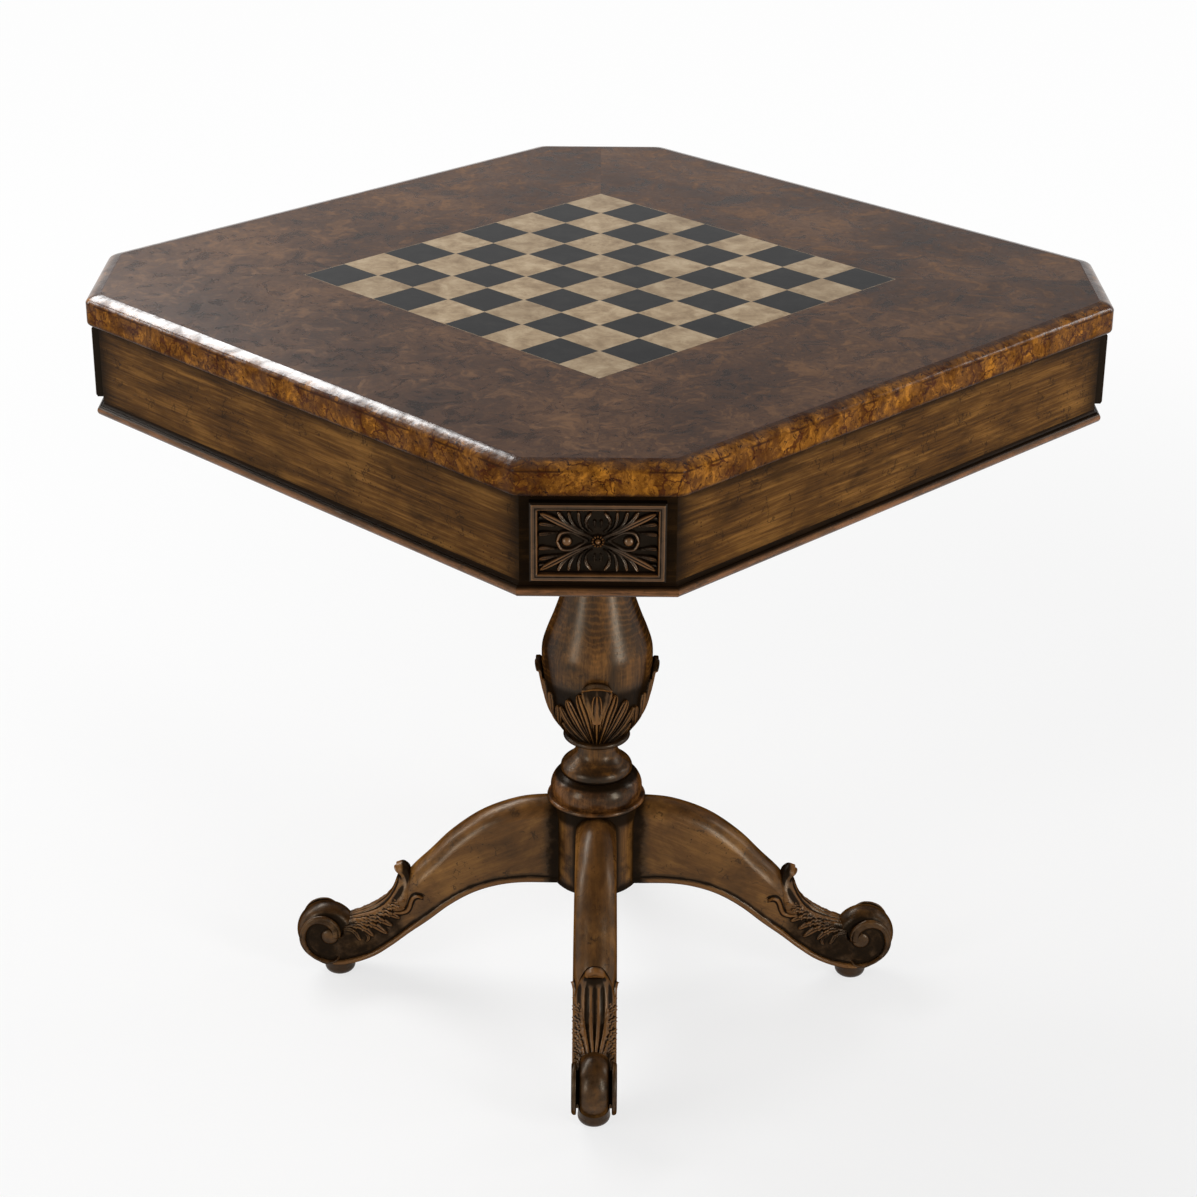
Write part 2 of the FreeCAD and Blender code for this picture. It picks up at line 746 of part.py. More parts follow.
def make_collar():
    """Thin ring below a torus, bored for the baluster's spigot."""
    torus_foot = hub_top + ring_height
    flat = ring_radius - ring_bulge
    nose = at(torus_radius, torus_foot + torus_height * torus_nose_share)
    edges = [line(at(spigot_radius, hub_top), at(flat, hub_top)),
             arc(at(flat, hub_top), at(ring_radius, hub_top + ring_height / 2), at(flat, torus_foot)),
             line(at(flat, torus_foot), at(torus_foot_radius, torus_foot)),
             arc(at(torus_foot_radius, torus_foot), nose, at(torus_top_radius, collar_top)),
             line(at(torus_top_radius, collar_top), at(spigot_radius, collar_top)),
             line(at(spigot_radius, collar_top), at(spigot_radius, hub_top))]
    save("pedestal_collar", revolved(edges))


def dowels():
    """Two dowels for each leg, across the joint with the hub."""
    start = hub_radius - dowel_seat
    shapes = []
    for share in dowel_rise_shares:
        height = leg_under + (hub_top - leg_under) * share
        shapes.append(Part.makeCylinder(dowel_radius, dowel_length, at(start, height), Vector(1, 0, 0)))
    return shapes


def leg_turns():
    names = [name for name, angle in cant_sides]
    return [(name, leg_angle_first + index * 360 / len(names)) for index, name in enumerate(names)]


def steel_plate():
    """Cross-shaped plate under the hub and the flat start of the legs."""
    half = plate_steel_width / 2
    low = hub_bottom
    high = hub_bottom + plate_steel_thickness
    arm = box(-plate_steel_reach, plate_steel_reach, -half, half, low, high)
    cross = turned(arm, leg_angle_first).fuse(turned(arm, leg_angle_first + 90)).removeSplitter()
    return cross.cut(rod_hole())


def plate_screws():
    """Screws of one arm of the steel plate."""
    free = plate_steel_reach - hub_radius
    places = [hub_radius + free * share for share in plate_screw_shares]
    return [screw_up(place, 0, hub_bottom, plate_screw_length) for place in places]


def make_hub():
    hub = upright_cylinder(hub_radius, hub_bottom, hub_top)
    low_edges = [edge for edge in hub.Edges if edge.BoundBox.ZMax < hub_bottom + hub_chamfer]
    hub = hub.makeChamfer(hub_chamfer, low_edges)
    hub = hub.cut(upright_cylinder(spigot_radius, hub_top - spigot_length, hub_top + overrun))
    hub = hub.cut(rod_hole()).cut(steel_plate())
    for name, angle in leg_turns():
        hub = cut_all(hub, [turned(dowel, angle) for dowel in dowels()])
    save("pedestal_hub", hub)


# Scroll legs, drawn towards +X with the table's axis at x = 0

def crown_point(shares):
    return at(hub_radius + (leg_reach - hub_radius) * shares[0],
              scroll_height + (hub_top - scroll_height) * shares[1])


def under_point(shares):
    return at(hub_radius + (leg_reach - hub_radius) * shares[0],
              scroll_low + (leg_under - scroll_low) * shares[1])


def leg_section(crown, under):
    """Cross-section between a point of the underside and one of the crown line."""
    height = (crown - under).Length
    up = (crown - under).normalize()
    half = leg_width / 2
    flank = half - leg_bead_projection

    def place(side, rise):
        return under + up * rise + Vector(0, side, 0)

    shoulder = height - leg_crown
    edges = [line(place(-flank, 0), place(flank, 0)),
             arc(place(flank, 0), place(half, leg_bead_height / 2), place(flank, leg_bead_height)),
             line(place(flank, leg_bead_height), place(flank, shoulder)),
             arc(place(flank, shoulder), place(0, height), place(-flank, shoulder)),
             line(place(-flank, shoulder), place(-flank, leg_bead_height)),
             arc(place(-flank, leg_bead_height), place(-half, leg_bead_height / 2), place(-flank, 0))]
    return Part.Wire(edges)


def leg_body():
    sections = [leg_section(crown_point(crown), under_point(under)) for crown, under in leg_shares]
    return Part.makeLoft(sections, True, True)


def scroll_barrel():
    """Round cushion between two rim plates, with a groove at each side of it."""
    half = leg_width / 2
    face = half - scroll_recess
    rim_inside = half - scroll_rim_width
    barrel = rim_inside - scroll_groove_width
    groove = scroll_rim_radius - scroll_groove_depth
    barrel_edge = scroll_rim_radius - scroll_groove_width / 2

    def place(side, radius):
        return Vector(leg_reach + radius, side, scroll_height)

    edges = [line(place(-face, 0), place(-face, scroll_rim_radius)),
             line(place(-face, scroll_rim_radius), place(-rim_inside, scroll_rim_radius)),
             line(place(-rim_inside, scroll_rim_radius), place(-rim_inside, groove)),
             line(place(-rim_inside, groove), place(-barrel, groove)),
             line(place(-barrel, groove), place(-barrel, barrel_edge)),
             arc(place(-barrel, barrel_edge), place(0, scroll_radius), place(barrel, barrel_edge)),
             line(place(barrel, barrel_edge), place(barrel, groove)),
             line(place(barrel, groove), place(rim_inside, groove)),
             line(place(rim_inside, groove), place(rim_inside, scroll_rim_radius)),
             line(place(rim_inside, scroll_rim_radius), place(face, scroll_rim_radius)),
             line(place(face, scroll_rim_radius), place(face, 0)),
             line(place(face, 0), place(-face, 0))]
    face_shape = Part.Face(Part.Wire(edges))
    return face_shape.revolve(place(0, 0), Vector(0, 1, 0), 360)


def spiral_arcs(eye, shrink):
    """Arcs of the spiral round its eye, moved in by shrink."""
    points = []
    for degrees, share in spiral_shares:
        turn = math.radians(degrees - 90)
        radius = scroll_rim_radius * share - shrink
        points.append(eye + Vector(radius * math.cos(turn), 0, radius * math.sin(turn)))
    starts = range(0, len(points) - 2, 2)
    return [arc(*points[start:start + 3]) for start in starts], points[0], points[-1]


def scroll_spiral():
    """Raised band of the volute with its eye, on the flank at -Y, drawn from y = 0 inwards."""
    eye = Vector(leg_reach + scroll_rim_radius * spiral_eye_shares[0], 0,
                 scroll_height + scroll_rim_radius * spiral_eye_shares[1])
    outer, outer_start, outer_end = spiral_arcs(eye, 0)
    inner, inner_start, inner_end = spiral_arcs(eye, scroll_band_width)
    ends = [line(outer_end, inner_end), line(inner_start, outer_start)]
    band = Part.Face(Part.Wire(Part.__sortEdges__(outer + inner + ends)))
    depth = Vector(0, scroll_recess + scroll_rim_width / 2, 0)
    return band.extrude(depth).fuse(Part.makeCylinder(scroll_eye_radius, depth.Length, eye, depth))


def leaf_tip():
    """Curled tip of the acanthus leaf, standing up from the crown of the leg."""
    points = [crown_point(shares) for shares in leaf_tip_shares]
    outline = Part.Wire([spline(points), line(points[-1], points[0])])
    half = leaf_tip_width / 2
    slab = Part.Face(outline)
    slab.translate(Vector(0, -half, 0))
    slab = slab.extrude(Vector(0, leaf_tip_width, 0))
    inside = points[0].x - overrun
    outside = max(point.x for point in points) + overrun
    low = points[-1].z - overrun
    high = max(point.z for point in points)
    right = [Vector(inside, half * side, low + (high - low) * rise) for side, rise in leaf_tip_front_shares]
    left = [Vector(point.x, -point.y, point.z) for point in right[-2::-1]]
    front = Part.Face(Part.Wire([spline(right + left), line(left[-1], right[0])]))
    return slab.common(front.extrude(Vector(outside - inside, 0, 0)))


def leaf_finger(root, point, side):
    """One finger of the leaf on a flank: a curved blade with two arcs."""
    start = crown_point(root)
    end = crown_point(point)
    along = end - start
    across = Vector(-along.z, 0, along.x).normalize()
    middle = (start + end) / 2
    wire = Part.Wire([arc(start, middle - across * (finger_width * finger_bow_shares[0]), end),
                      arc(end, middle + across * (finger_width * finger_bow_shares[1]), start)])
    flank = leg_width / 2 - leg_bead_projection
    blade = Part.Face(wire)
    blade.translate(Vector(0, side * (flank + finger_relief), 0))
    return blade.extrude(Vector(0, -side * (finger_relief + leg_bead_projection), 0))


def scroll_leg():
    leg = leg_body().fuse(scroll_barrel())
    spiral = scroll_spiral()
    spiral.translate(Vector(0, -leg_width / 2, 0))
    mirrored = spiral.mirror(Vector(0, 0, 0), Vector(0, 1, 0))
    leg = leg.fuse(spiral).fuse(mirrored).fuse(leaf_tip())
    for root, point in finger_shares:
        for side in (-1, 1):
            leg = leg.fuse(leaf_finger(root, point, side))
    leg = leg.cut(upright_cylinder(hub_radius, 0, table_height))
    leg = cut_all(leg, dowels() + plate_screws() + [pad_stem()])
    return leg


def pad_stem():
    """Stem of a pad foot, let into the scroll."""
    return upright_cylinder(pad_stem_radius, scroll_low, scroll_low + pad_stem_length, pad_place)


def pad_foot():
    """Turned pad with a rounded lower edge; its top is shaped to the underside of the scroll."""
    waist = at(pad_radius, pad_waist_height)
    rounding = at(pad_base_radius + (pad_radius - pad_base_radius) * pad_round_shares[0],
                  pad_waist_height * pad_round_shares[1])
    blank = revolved([line(at(0, 0), at(pad_base_radius, 0)),
                      arc(at(pad_base_radius, 0), rounding, waist),
                      line(waist, at(pad_radius, pad_height)),
                      line(at(pad_radius, pad_height), at(0, pad_height)),
                      line(at(0, pad_height), at(0, 0))])
    blank.translate(Vector(pad_place, 0, 0))
    return blank


def make_legs_and_feet():
    leg = scroll_leg()
    foot = pad_foot().cut(leg)
    foot = max(foot.Solids, key=lambda solid: solid.Volume)
    foot = foot.fuse(pad_stem()).removeSplitter()
    all_dowels = []
    all_screws = []
    for name, angle in leg_turns():
        save("leg_" + name, turned(leg, angle))
        save("pad_foot_" + name, turned(foot, angle))
        all_dowels += [turned(dowel, angle) for dowel in dowels()]
        all_screws += [turned(screw, angle) for screw in plate_screws()]
    save("leg_dowels", Part.makeCompound(all_dowels))
    save("plate_screws", Part.makeCompound(all_screws))
    save("steel_plate", cut_all(steel_plate(), all_screws))


def washer(low):
    return upright_cylinder(washer_radius, low, low + washer_height).cut(
        upright_cylinder(rod_radius, low - overrun, low + washer_height + overrun))


def nut(low):
    corner = nut_flats / math.sqrt(3)
    points = [(corner * math.cos(math.radians(60 * step)), corner * math.sin(math.radians(60 * step)))
              for step in range(6)]
    return prism(points, low, low + nut_height).cut(
        upright_cylinder(rod_radius, low - overrun, low + nut_height + overrun))


def make_tie_rod():
    """Rod through the pedestal, from a nut under the steel plate to one sunk in the mounting block."""
    lower_nut = hub_bottom - washer_height - nut_height
    upper_washer = top_underside - nut_recess_depth
    upper_nut = upper_washer + washer_height
    save("tie_rod", upright_cylinder(rod_radius, lower_nut - rod_end, upper_nut + nut_height + rod_end / 2))
    save("tie_rod_washers", Part.makeCompound([washer(hub_bottom - washer_height), washer(upper_washer)]))
    save("tie_rod_nuts", Part.makeCompound([nut(lower_nut), nut(upper_nut)]))


def export_all():
    os.makedirs("parts", exist_ok=True)
    for name, shape in parts.items():
        shape.exportStep("parts/" + name + ".step")


make_core_panel()
make_edge_lippings()
make_border_veneers()
make_board()
make_apron()
make_base_mouldings()
make_rosette_plates()
make_frame_blocks()
make_top_carriers()
make_baluster()
make_collar()
make_hub()
make_legs_and_feet()
make_tie_rod()
export_all()
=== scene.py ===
import functools
import math

import bmesh
import bpy
import numpy as np
from bpy.props import FloatProperty, FloatVectorProperty, PointerProperty
from mathutils import Matrix, Quaternion, Vector


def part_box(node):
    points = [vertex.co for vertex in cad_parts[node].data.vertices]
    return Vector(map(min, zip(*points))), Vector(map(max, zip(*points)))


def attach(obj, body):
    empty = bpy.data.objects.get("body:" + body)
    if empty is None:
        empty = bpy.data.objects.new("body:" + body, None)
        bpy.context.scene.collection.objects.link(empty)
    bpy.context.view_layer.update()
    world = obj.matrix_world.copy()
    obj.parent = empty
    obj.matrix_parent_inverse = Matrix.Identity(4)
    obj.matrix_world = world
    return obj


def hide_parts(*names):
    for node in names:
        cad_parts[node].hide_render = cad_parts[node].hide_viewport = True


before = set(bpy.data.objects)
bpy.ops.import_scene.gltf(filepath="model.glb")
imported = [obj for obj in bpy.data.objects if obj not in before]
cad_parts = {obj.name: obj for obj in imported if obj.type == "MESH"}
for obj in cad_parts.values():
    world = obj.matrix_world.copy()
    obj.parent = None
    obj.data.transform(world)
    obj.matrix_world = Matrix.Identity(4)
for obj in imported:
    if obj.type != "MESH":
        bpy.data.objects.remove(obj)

bl_info = {
    "name": "Carved games table",
    "version": (1, 0, 0),
    "blender": (4, 5, 0),
    "location": "3D View > Sidebar > Table",
    "description": "Dresses the games table: carved legs, leaf cup, rosettes, veneers, stage and camera",
    "category": "Object",
}

# The frame is in metres. Carving is drawn in millimetres and scaled when its mesh is made.
MM = 0.001
BODY = "root"
CORNERS = ("front_right", "back_right", "back_left", "front_left")
SIDES = ("front", "right", "back", "left")
CORNER_TURN = {name: -45.0 + 90.0 * step for step, name in enumerate(CORNERS)}


def low_corner(node):
    """Lowest corner of a CAD node in millimetres."""
    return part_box(node)[0] / MM


def high_corner(node):
    """Highest corner of a CAD node in millimetres."""
    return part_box(node)[1] / MM


def span(node, turn):
    """Least and greatest reach of a CAD node along a level line at an angle from +X, in millimetres."""
    mesh = bpy.data.objects[node].data
    places = np.empty(len(mesh.vertices) * 3, np.float32)
    mesh.vertices.foreach_get("co", places)
    places = places.reshape(-1, 3)
    reach = places[:, 0] * math.cos(math.radians(turn)) + places[:, 1] * math.sin(math.radians(turn))
    return float(reach.min()) / MM, float(reach.max()) / MM


# Levels and distances that the pieces have to meet
TABLE_TOP = high_corner("border_veneer_front").z
TOP_UNDERSIDE = low_corner("top_core_panel").z
TOP_HALF = high_corner("top_edge_long_right").x
CANT_DISTANCE = span("top_edge_cant_front_right", -45.0)[1]
APRON_LOW = low_corner("apron_long_front").z
MOULDING_LOW = low_corner("base_moulding_long_front").z
COLLAR_TOP = high_corner("pedestal_collar").z
COLUMN_TOP = low_corner("mounting_block").z
PLATE_LOW = low_corner("rosette_plate_front_right").z
PLATE_HIGH = high_corner("rosette_plate_front_right").z
PLATE_BACK, PLATE_FRONT = span("rosette_plate_front_right", -45.0)
PLATE_HALF_WIDTH = span("rosette_plate_front_right", 45.0)[1]


# ---------------------------------------------------------------- shapes

# Pieces of a finger's spine, and half width of the vein along it as a share of the finger's
SPINE_PIECES = 24
VEIN_SPREAD = 0.35
# Height of a finger at its root as a share of its height at the point
ROOT_HEIGHT = 0.55
# Ridges from a fluted finger's middle to its side
FLUTE_WAVES = 1.25
# Height at which the groove between two fingers starts and is full
GROOVE_START = (0.2, 1.6)
# Grid steps over which hollows are measured on large and on fine carving
WIDE_REACH = (2, 5)
FINE_REACH = (2, 4)
SHARP_ANGLE = 50.0
MERGE_DISTANCE = 2e-6


def smooth_step(value, low, high):
    """Soft step: 0 below low, 1 above high, and between them the cubic that starts and ends level."""
    share = np.clip((np.asarray(value, float) - low) / (high - low), 0.0, 1.0)
    return share * share * (3.0 - 2.0 * share)


def between(value, rise, fall):
    """1 between two soft steps, each given by its start and end, and 0 outside them."""
    return smooth_step(value, *rise) * (1.0 - smooth_step(value, *fall))


def half_round(gap, half):
    """Circle's arc over its middle line: the root of 1 less the square of the gap's share of the half width."""
    return np.sqrt(1.0 - np.clip(gap / half, 0.0, 1.0) ** 2)


def knob(u, v, place):
    """Half round about a place that is given as its two coordinates, radius and height."""
    return place[3] * half_round(np.hypot(u - place[0], v - place[1]), place[2])


def ridge(value, middle, spread):
    """Bell curve: e to the minus square of the distance from the middle over the spread."""
    return np.exp(-(((value - middle) / spread) ** 2))


def around(columns):
    """Even angles of a full turn, as one row."""
    return np.linspace(0.0, 2 * np.pi, columns, endpoint=False)[None, :]


def lengths_along(line):
    """Distance along a line of straight pieces up to each of its points."""
    return np.concatenate(([0.0], np.cumsum(np.linalg.norm(np.diff(line, axis=0), axis=1))))


def through(points, count):
    """Smooth line through the points, at even shares of their chord length.

    Between two points it is the cubic whose slopes at its ends are those between the neighbours.
    """
    points = np.asarray(points, float)
    knots = lengths_along(points)
    slopes = np.gradient(points, knots, axis=0)
    at = np.linspace(0.0, knots[-1], count)
    piece = np.clip(np.searchsorted(knots, at, side="right") - 1, 0, len(knots) - 2)
    span = (knots[piece + 1] - knots[piece])[:, None]
    t = (at - knots[piece])[:, None] / span
    start, end = points[piece], points[piece + 1]
    lean_in, lean_out = slopes[piece] * span, slopes[piece + 1] * span
    return (
        start * (2 * t**3 - 3 * t**2 + 1)
        + end * (3 * t**2 - 2 * t**3)
        + lean_in * (t**3 - 2 * t**2 + t)
        + lean_out * (t**3 - t**2)
    )


def nearest_on(line, u, v):
    """Distance of the points (u, v) from a line of straight pieces, and the share of its length there.

    Each point is dropped square onto every piece, held between its ends, and the nearest one counts.
    """
    start, step = line[:-1], np.diff(line, axis=0)
    lengths = np.linalg.norm(step, axis=1)
    before = lengths_along(line)
    flat_u, flat_v = np.ravel(u)[:, None], np.ravel(v)[:, None]
    along = ((flat_u - start[:, 0]) * step[:, 0] + (flat_v - start[:, 1]) * step[:, 1]) / lengths**2
    along = np.clip(along, 0.0, 1.0)
    gap = np.hypot(flat_u - start[:, 0] - along * step[:, 0], flat_v - start[:, 1] - along * step[:, 1])
    nearest = np.argmin(gap, axis=1)
    pick = np.arange(len(nearest))
    share = (before[nearest] + along[pick, nearest] * lengths[nearest]) / before[-1]
    shape = np.shape(u)
    return gap[pick, nearest].reshape(shape), share.reshape(shape)


def blade(u, v, spine, width, height, root=0.25, vein=0.0, point=8.0, swell=0.8, flutes=0.0):
    """Relief of one leaf finger over the points (u, v).

    Across its spine it is a half round with a vein sunk along the middle. A fluted one is flatter, with a ridge
    along its middle and one near each side from the cosine of the distance. Its width grows from the root's
    share to the whole with a power of the length, and closes at the point: the higher the power there, the
    blunter the end.
    """
    gap, share = nearest_on(through(spine, SPINE_PIECES), u, v)
    half = width / 2 * (root + (1.0 - root) * share**swell) * np.sqrt(1.0 - share**point)
    across = np.clip(gap / np.maximum(half, 0.02), 0.0, 1.0)
    top = np.sqrt(1.0 - across ** (4.0 if flutes else 2.0)) * (1.0 - vein * ridge(across, 0.0, VEIN_SPREAD))
    top = top * (1.0 - flutes * (0.5 - 0.5 * np.cos(2 * FLUTE_WAVES * np.pi * across)))
    return height * (ROOT_HEIGHT + (1.0 - ROOT_HEIGHT) * share) * top


def highest(reliefs):
    """Upper outline of several reliefs laid over each other."""
    return np.maximum.reduce(list(reliefs))


def joined(reliefs, depth=1.5, soft=0.55):
    """Upper outline of several fingers laid over each other, with a groove cut along each line where two meet.

    The groove's depth falls with the square of the difference between the two highest of them.
    """
    ordered = np.sort(np.stack(list(reliefs)), axis=0)
    first, second = ordered[-1], ordered[-2]
    return first - depth * smooth_step(second, *GROOVE_START) * ridge(first - second, 0.0, soft)


def surface_normals(points, wrap):
    """Unit normals of a grid of points, from the cross product of its two directions, facing outwards."""
    across = np.gradient(points, axis=1)
    if wrap:
        across = (np.roll(points, -1, axis=1) - np.roll(points, 1, axis=1)) / 2
    normal = np.cross(np.gradient(points, axis=0), across)
    outward = np.sum((points - points.mean(axis=(0, 1))) * normal)
    length = np.maximum(np.linalg.norm(normal, axis=2, keepdims=True), 1e-9)
    return normal / length * (1.0 if outward >= 0 else -1.0)


def hollows(points, wrap, reach):
    """Depth of each point below the mean of its neighbours that many grid steps away, in millimetres.

    It is measured along the outward normal, so it is positive in hollows and negative on ridges.
    """
    padded = np.pad(points, ((reach, reach), (0, 0), (0, 0)), mode="edge")
    padded = np.pad(padded, ((0, 0), (reach, reach), (0, 0)), mode="wrap" if wrap else "edge")
    rows, columns = points.shape[:2]
    mean = (
        padded[: rows, reach:reach + columns]
        + padded[2 * reach:, reach:reach + columns]
        + padded[reach:reach + rows, :columns]
        + padded[reach:reach + rows, 2 * reach:]
    ) / 4
    return np.sum((mean - points) * surface_normals(points, wrap), axis=2)


def shell(carving, wrap=True, reach=FINE_REACH, grain=None):
    """Parts of a grid of points whose fourth value is the dark glaze and painted shade laid on: places, hollows, glaze
    with painted shade, and grain.
    """
    points = carving[:, :, :3]
    return {
        "points": points,
        "wrap": wrap,
        "hollow": sum(hollows(points, wrap, steps) / steps**0.5 for steps in reach),
        "shade": carving[:, :, 3],
        "grain": points if grain is None else grain,
    }


def add_piece(name, mesh, nodes):
    """Object of a finished mesh: it rides with the table, has a finish and takes the place of CAD nodes."""
    piece = bpy.data.objects.new(name, mesh)
    bpy.context.scene.collection.objects.link(piece)
    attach(piece, BODY)
    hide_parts(*nodes)
    return piece


def make_piece(name, shells, material, nodes, turn=0.0, fill=False):
    """One object from several grids, turned about the table's axis, with its seams and poles merged."""
    faces, first = [], 0
    for part in shells:
        rows, columns = part["points"].shape[:2]
        index = first + np.arange(rows * columns).reshape(rows, columns)
        if part["wrap"]:
            index = np.concatenate((index, index[:, :1]), axis=1)
        quads = np.stack((index[:-1, :-1], index[1:, :-1], index[1:, 1:], index[:-1, 1:]), axis=-1)
        faces.append(quads.reshape(-1, 4))
        first += rows * columns
    keys = ("points", "hollow", "shade", "grain")
    values = {key: np.concatenate([part[key].ravel() for part in shells]) for key in keys}
    mesh = bpy.data.meshes.new(name)
    mesh.from_pydata(values["points"].reshape(-1, 3) * MM, [], np.concatenate(faces))
    for label in ("hollow", "shade"):
        layer = mesh.attributes.new(label, "FLOAT", "POINT")
        layer.data.foreach_set("value", values[label].astype(np.float32))
    layer = mesh.attributes.new("grain", "FLOAT_VECTOR", "POINT")
    layer.data.foreach_set("vector", (values["grain"] * MM).astype(np.float32))
    work = bmesh.new()
    work.from_mesh(mesh)
    bmesh.ops.remove_doubles(work, verts=work.verts, dist=MERGE_DISTANCE)
    if fill:
        bmesh.ops.holes_fill(work, edges=[edge for edge in work.edges if edge.is_boundary], sides=0)
    bmesh.ops.recalc_face_normals(work, faces=work.faces)
    work.to_mesh(mesh)
    work.free()
    mesh.transform(Matrix.Rotation(math.radians(turn), 4, "Z"))
    mesh.polygons.foreach_set("use_smooth", np.ones(len(mesh.polygons), bool))
    mesh.set_sharp_from_angle(angle=math.radians(SHARP_ANGLE))
    mesh.materials.append(material)
    return add_piece(name, mesh, nodes)


def copy_turned(source, name, nodes, turn, grain_shift):
    """The same carving turned about the table's axis, cut from another stretch of wood."""
    mesh = source.data.copy()
    mesh.transform(Matrix.Rotation(math.radians(turn), 4, "Z"))
    grain = np.empty(len(mesh.vertices) * 3, np.float32)
    mesh.attributes["grain"].data.foreach_get("vector", grain)
    shifted = grain.reshape(-1, 3) + np.asarray(grain_shift, np.float32) * MM
    mesh.attributes["grain"].data.foreach_set("vector", shifted.ravel())
    return add_piece(name, mesh, nodes)


# ---------------------------------------------------------------- carved legs

# Stations of the leg from the hub to the scroll: reach and level of the crown, reach and level below
LEG_STATIONS = (
    (37.0, 208.5, 37.0, 118.0),
    (52.0, 208.0, 52.0, 118.0),
    (78.0, 204.8, 79.0, 117.8),
    (115.0, 190.8, 104.0, 113.6),
    (149.0, 166.0, 129.0, 104.0),
    (171.0, 143.0, 151.5, 89.7),
    (190.0, 123.5, 171.5, 73.0),
    (206.0, 102.5, 191.0, 57.3),
    (221.0, 85.5, 210.5, 40.2),
    (240.0, 74.0, 233.0, 24.8),
    (258.0, 67.2, 256.0, 17.6),
    (272.0, 62.6, 273.4, 17.4),
)
# Share of the leg's length that is plain, and the share of the cross-sections spent on it
PLAIN_LENGTH = 0.5
PLAIN_ROWS = 0.3
# Distance of the plain flank from the middle, its swell halfway up, the crown's rise and the leaf's sunk ground
FLANK = 20.25
FLANK_SWELL = 0.8
CROWN_RISE = 14.0
SUNK = 2.6
# Reach over which the flank's slight swell ends, and over which it sinks behind the leaf
SWELL_END = (165.0, 190.0)
FLANK_SINK = (176.0, 198.0)
# Height over the under edge at which the flank starts, and what the underside draws in there
UNDER_EDGE = 0.6
UNDER_DRAW = 0.7
# Seat of the scroll in the leg's end: gap inside the outline, more where it is open, depth and soft edge
SEAT_GAP = 1.0
SEAT_OPEN = 3.5
SEAT_DEPTH = 2.4
# Groove round the scroll's upper outline: levels where it starts, depth, distance from the rim, spread
UPPER_SCROLL = (46.0, 54.0)
OUTLINE_GROOVE = (2.2, 1.2, 1.6)
# Share by which the leg's end narrows towards the cushion, and the reach where it does
NARROWING = 0.32
NARROWING_REACH = (261.5, 267.5)
# Scroll: distance of its faces from the middle, its place and radius, the cushion and the groove beside it
BEAD_TOP = 21.7
SCROLL_CENTRE = (280.5, 49.0)
SCROLL_RIM = 28.0
CUSHION_EDGE = 20.6
CUSHION_DOME = 10.4
CUSHION_HALF = 14.6
RIM_INSIDE = 17.0
SCROLL_GROOVE = 17.5
# Radii of the rim's inner and outer corner, and what rim and face sink where the scroll is open
RIM_CORNERS = (1.4, 3.0)
RIM_SINK = 5.0
FACE_SINK = 0.25
# Outline of the scroll's faces: angle from the outer side over the top, and radius
RIM_ANGLES = (0, 29, 51, 69, 91, 114, 136, 158, 180, 210, 240, 255, 270, 286, 305, 322, 341, 360)
RIM_RADII = (
    27.4, 27.4, 27.6, 26.8, 25.2, 21.6, 19.4, 17.0, 15.0, 21.0, 30.2, 32.0, 32.2, 29.4, 27.8, 27.5, 27.4, 27.4,
)
# Angles between which the leg's flank runs into the scroll
OPEN_ANGLES = ((170.0, 190.0), (236.0, 250.0))
# Middle of the bead and its half width: under the leg, round the outside of the scroll and in to the eye
BEAD_LINE = (
    (36.0, 121.0, 3.0), (79.0, 120.8, 3.0), (105.5, 116.3, 3.0), (131.0, 106.6, 3.0), (153.5, 92.2, 3.0),
    (173.5, 75.5, 3.0), (193.0, 59.8, 2.9), (212.5, 43.2, 2.9), (234.5, 28.4, 2.9), (254.0, 21.2, 3.0),
    (268.0, 18.9, 3.0), (280.0, 19.6, 3.0), (290.0, 23.2, 3.0), (297.8, 29.6, 3.0), (302.8, 38.6, 3.1),
    (304.2, 49.0, 3.2), (302.0, 59.0, 3.6), (296.4, 66.6, 4.2), (288.6, 69.6, 4.8), (280.6, 68.4, 4.9),
    (274.2, 64.0, 4.5), (270.6, 57.6, 4.1), (270.4, 51.0, 3.8),
)
# Straight pieces of the bead's line for its relief and for its glaze, and steps between two rows of the leg
BEAD_PIECES = 190
GLAZE_PIECES = 170
STATION_STEPS = 20
# Channel beside the bead: depth, distance from it, spread
BEAD_CHANNEL = (0.9, 0.8, 1.3)
# Eye of the volute and knob over the leaf: reach, level, radius, height
EYE = (276.0, 50.0, 9.0, 3.8)
KNOB = (204.0, 104.5, 3.3, 4.0)
# Leaf on the flank: spine of each finger with its width and height
FLANK_FINGERS = (
    (((264.0, 66.0), (250.0, 71.2), (240.0, 77.4), (228.0, 88.0), (215.0, 101.0), (207.0, 112.0)), 5.8, 3.4),
    (((224.0, 95.0), (213.0, 99.0), (203.0, 99.6)), 7.2, 2.7),
    (((236.0, 84.0), (223.0, 91.0), (210.0, 94.0), (196.0, 94.4)), 9.4, 2.9),
    (((243.0, 77.6), (228.0, 85.4), (213.0, 87.4), (197.5, 85.0)), 10.2, 3.1),
    (((250.0, 72.8), (234.0, 79.4), (218.0, 80.0), (202.5, 73.2)), 10.6, 3.1),
    (((257.0, 69.2), (241.0, 74.0), (227.0, 72.8), (210.5, 63.8)), 10.4, 3.1),
    (((262.0, 66.2), (247.0, 69.4), (234.0, 66.6), (216.0, 54.4)), 10.2, 3.0),
    (((264.0, 63.4), (251.0, 64.8), (241.0, 61.2), (230.5, 51.2)), 9.2, 2.9),
    (((264.0, 59.4), (256.0, 59.4), (250.0, 56.4), (247.0, 51.0), (244.0, 45.4)), 6.6, 2.7),
    (((242.0, 56.0), (237.4, 53.0), (235.6, 49.0), (237.6, 44.6)), 5.0, 2.6),
)
# Share of a finger's height that its vein sinks
FINGER_VEIN = 0.5
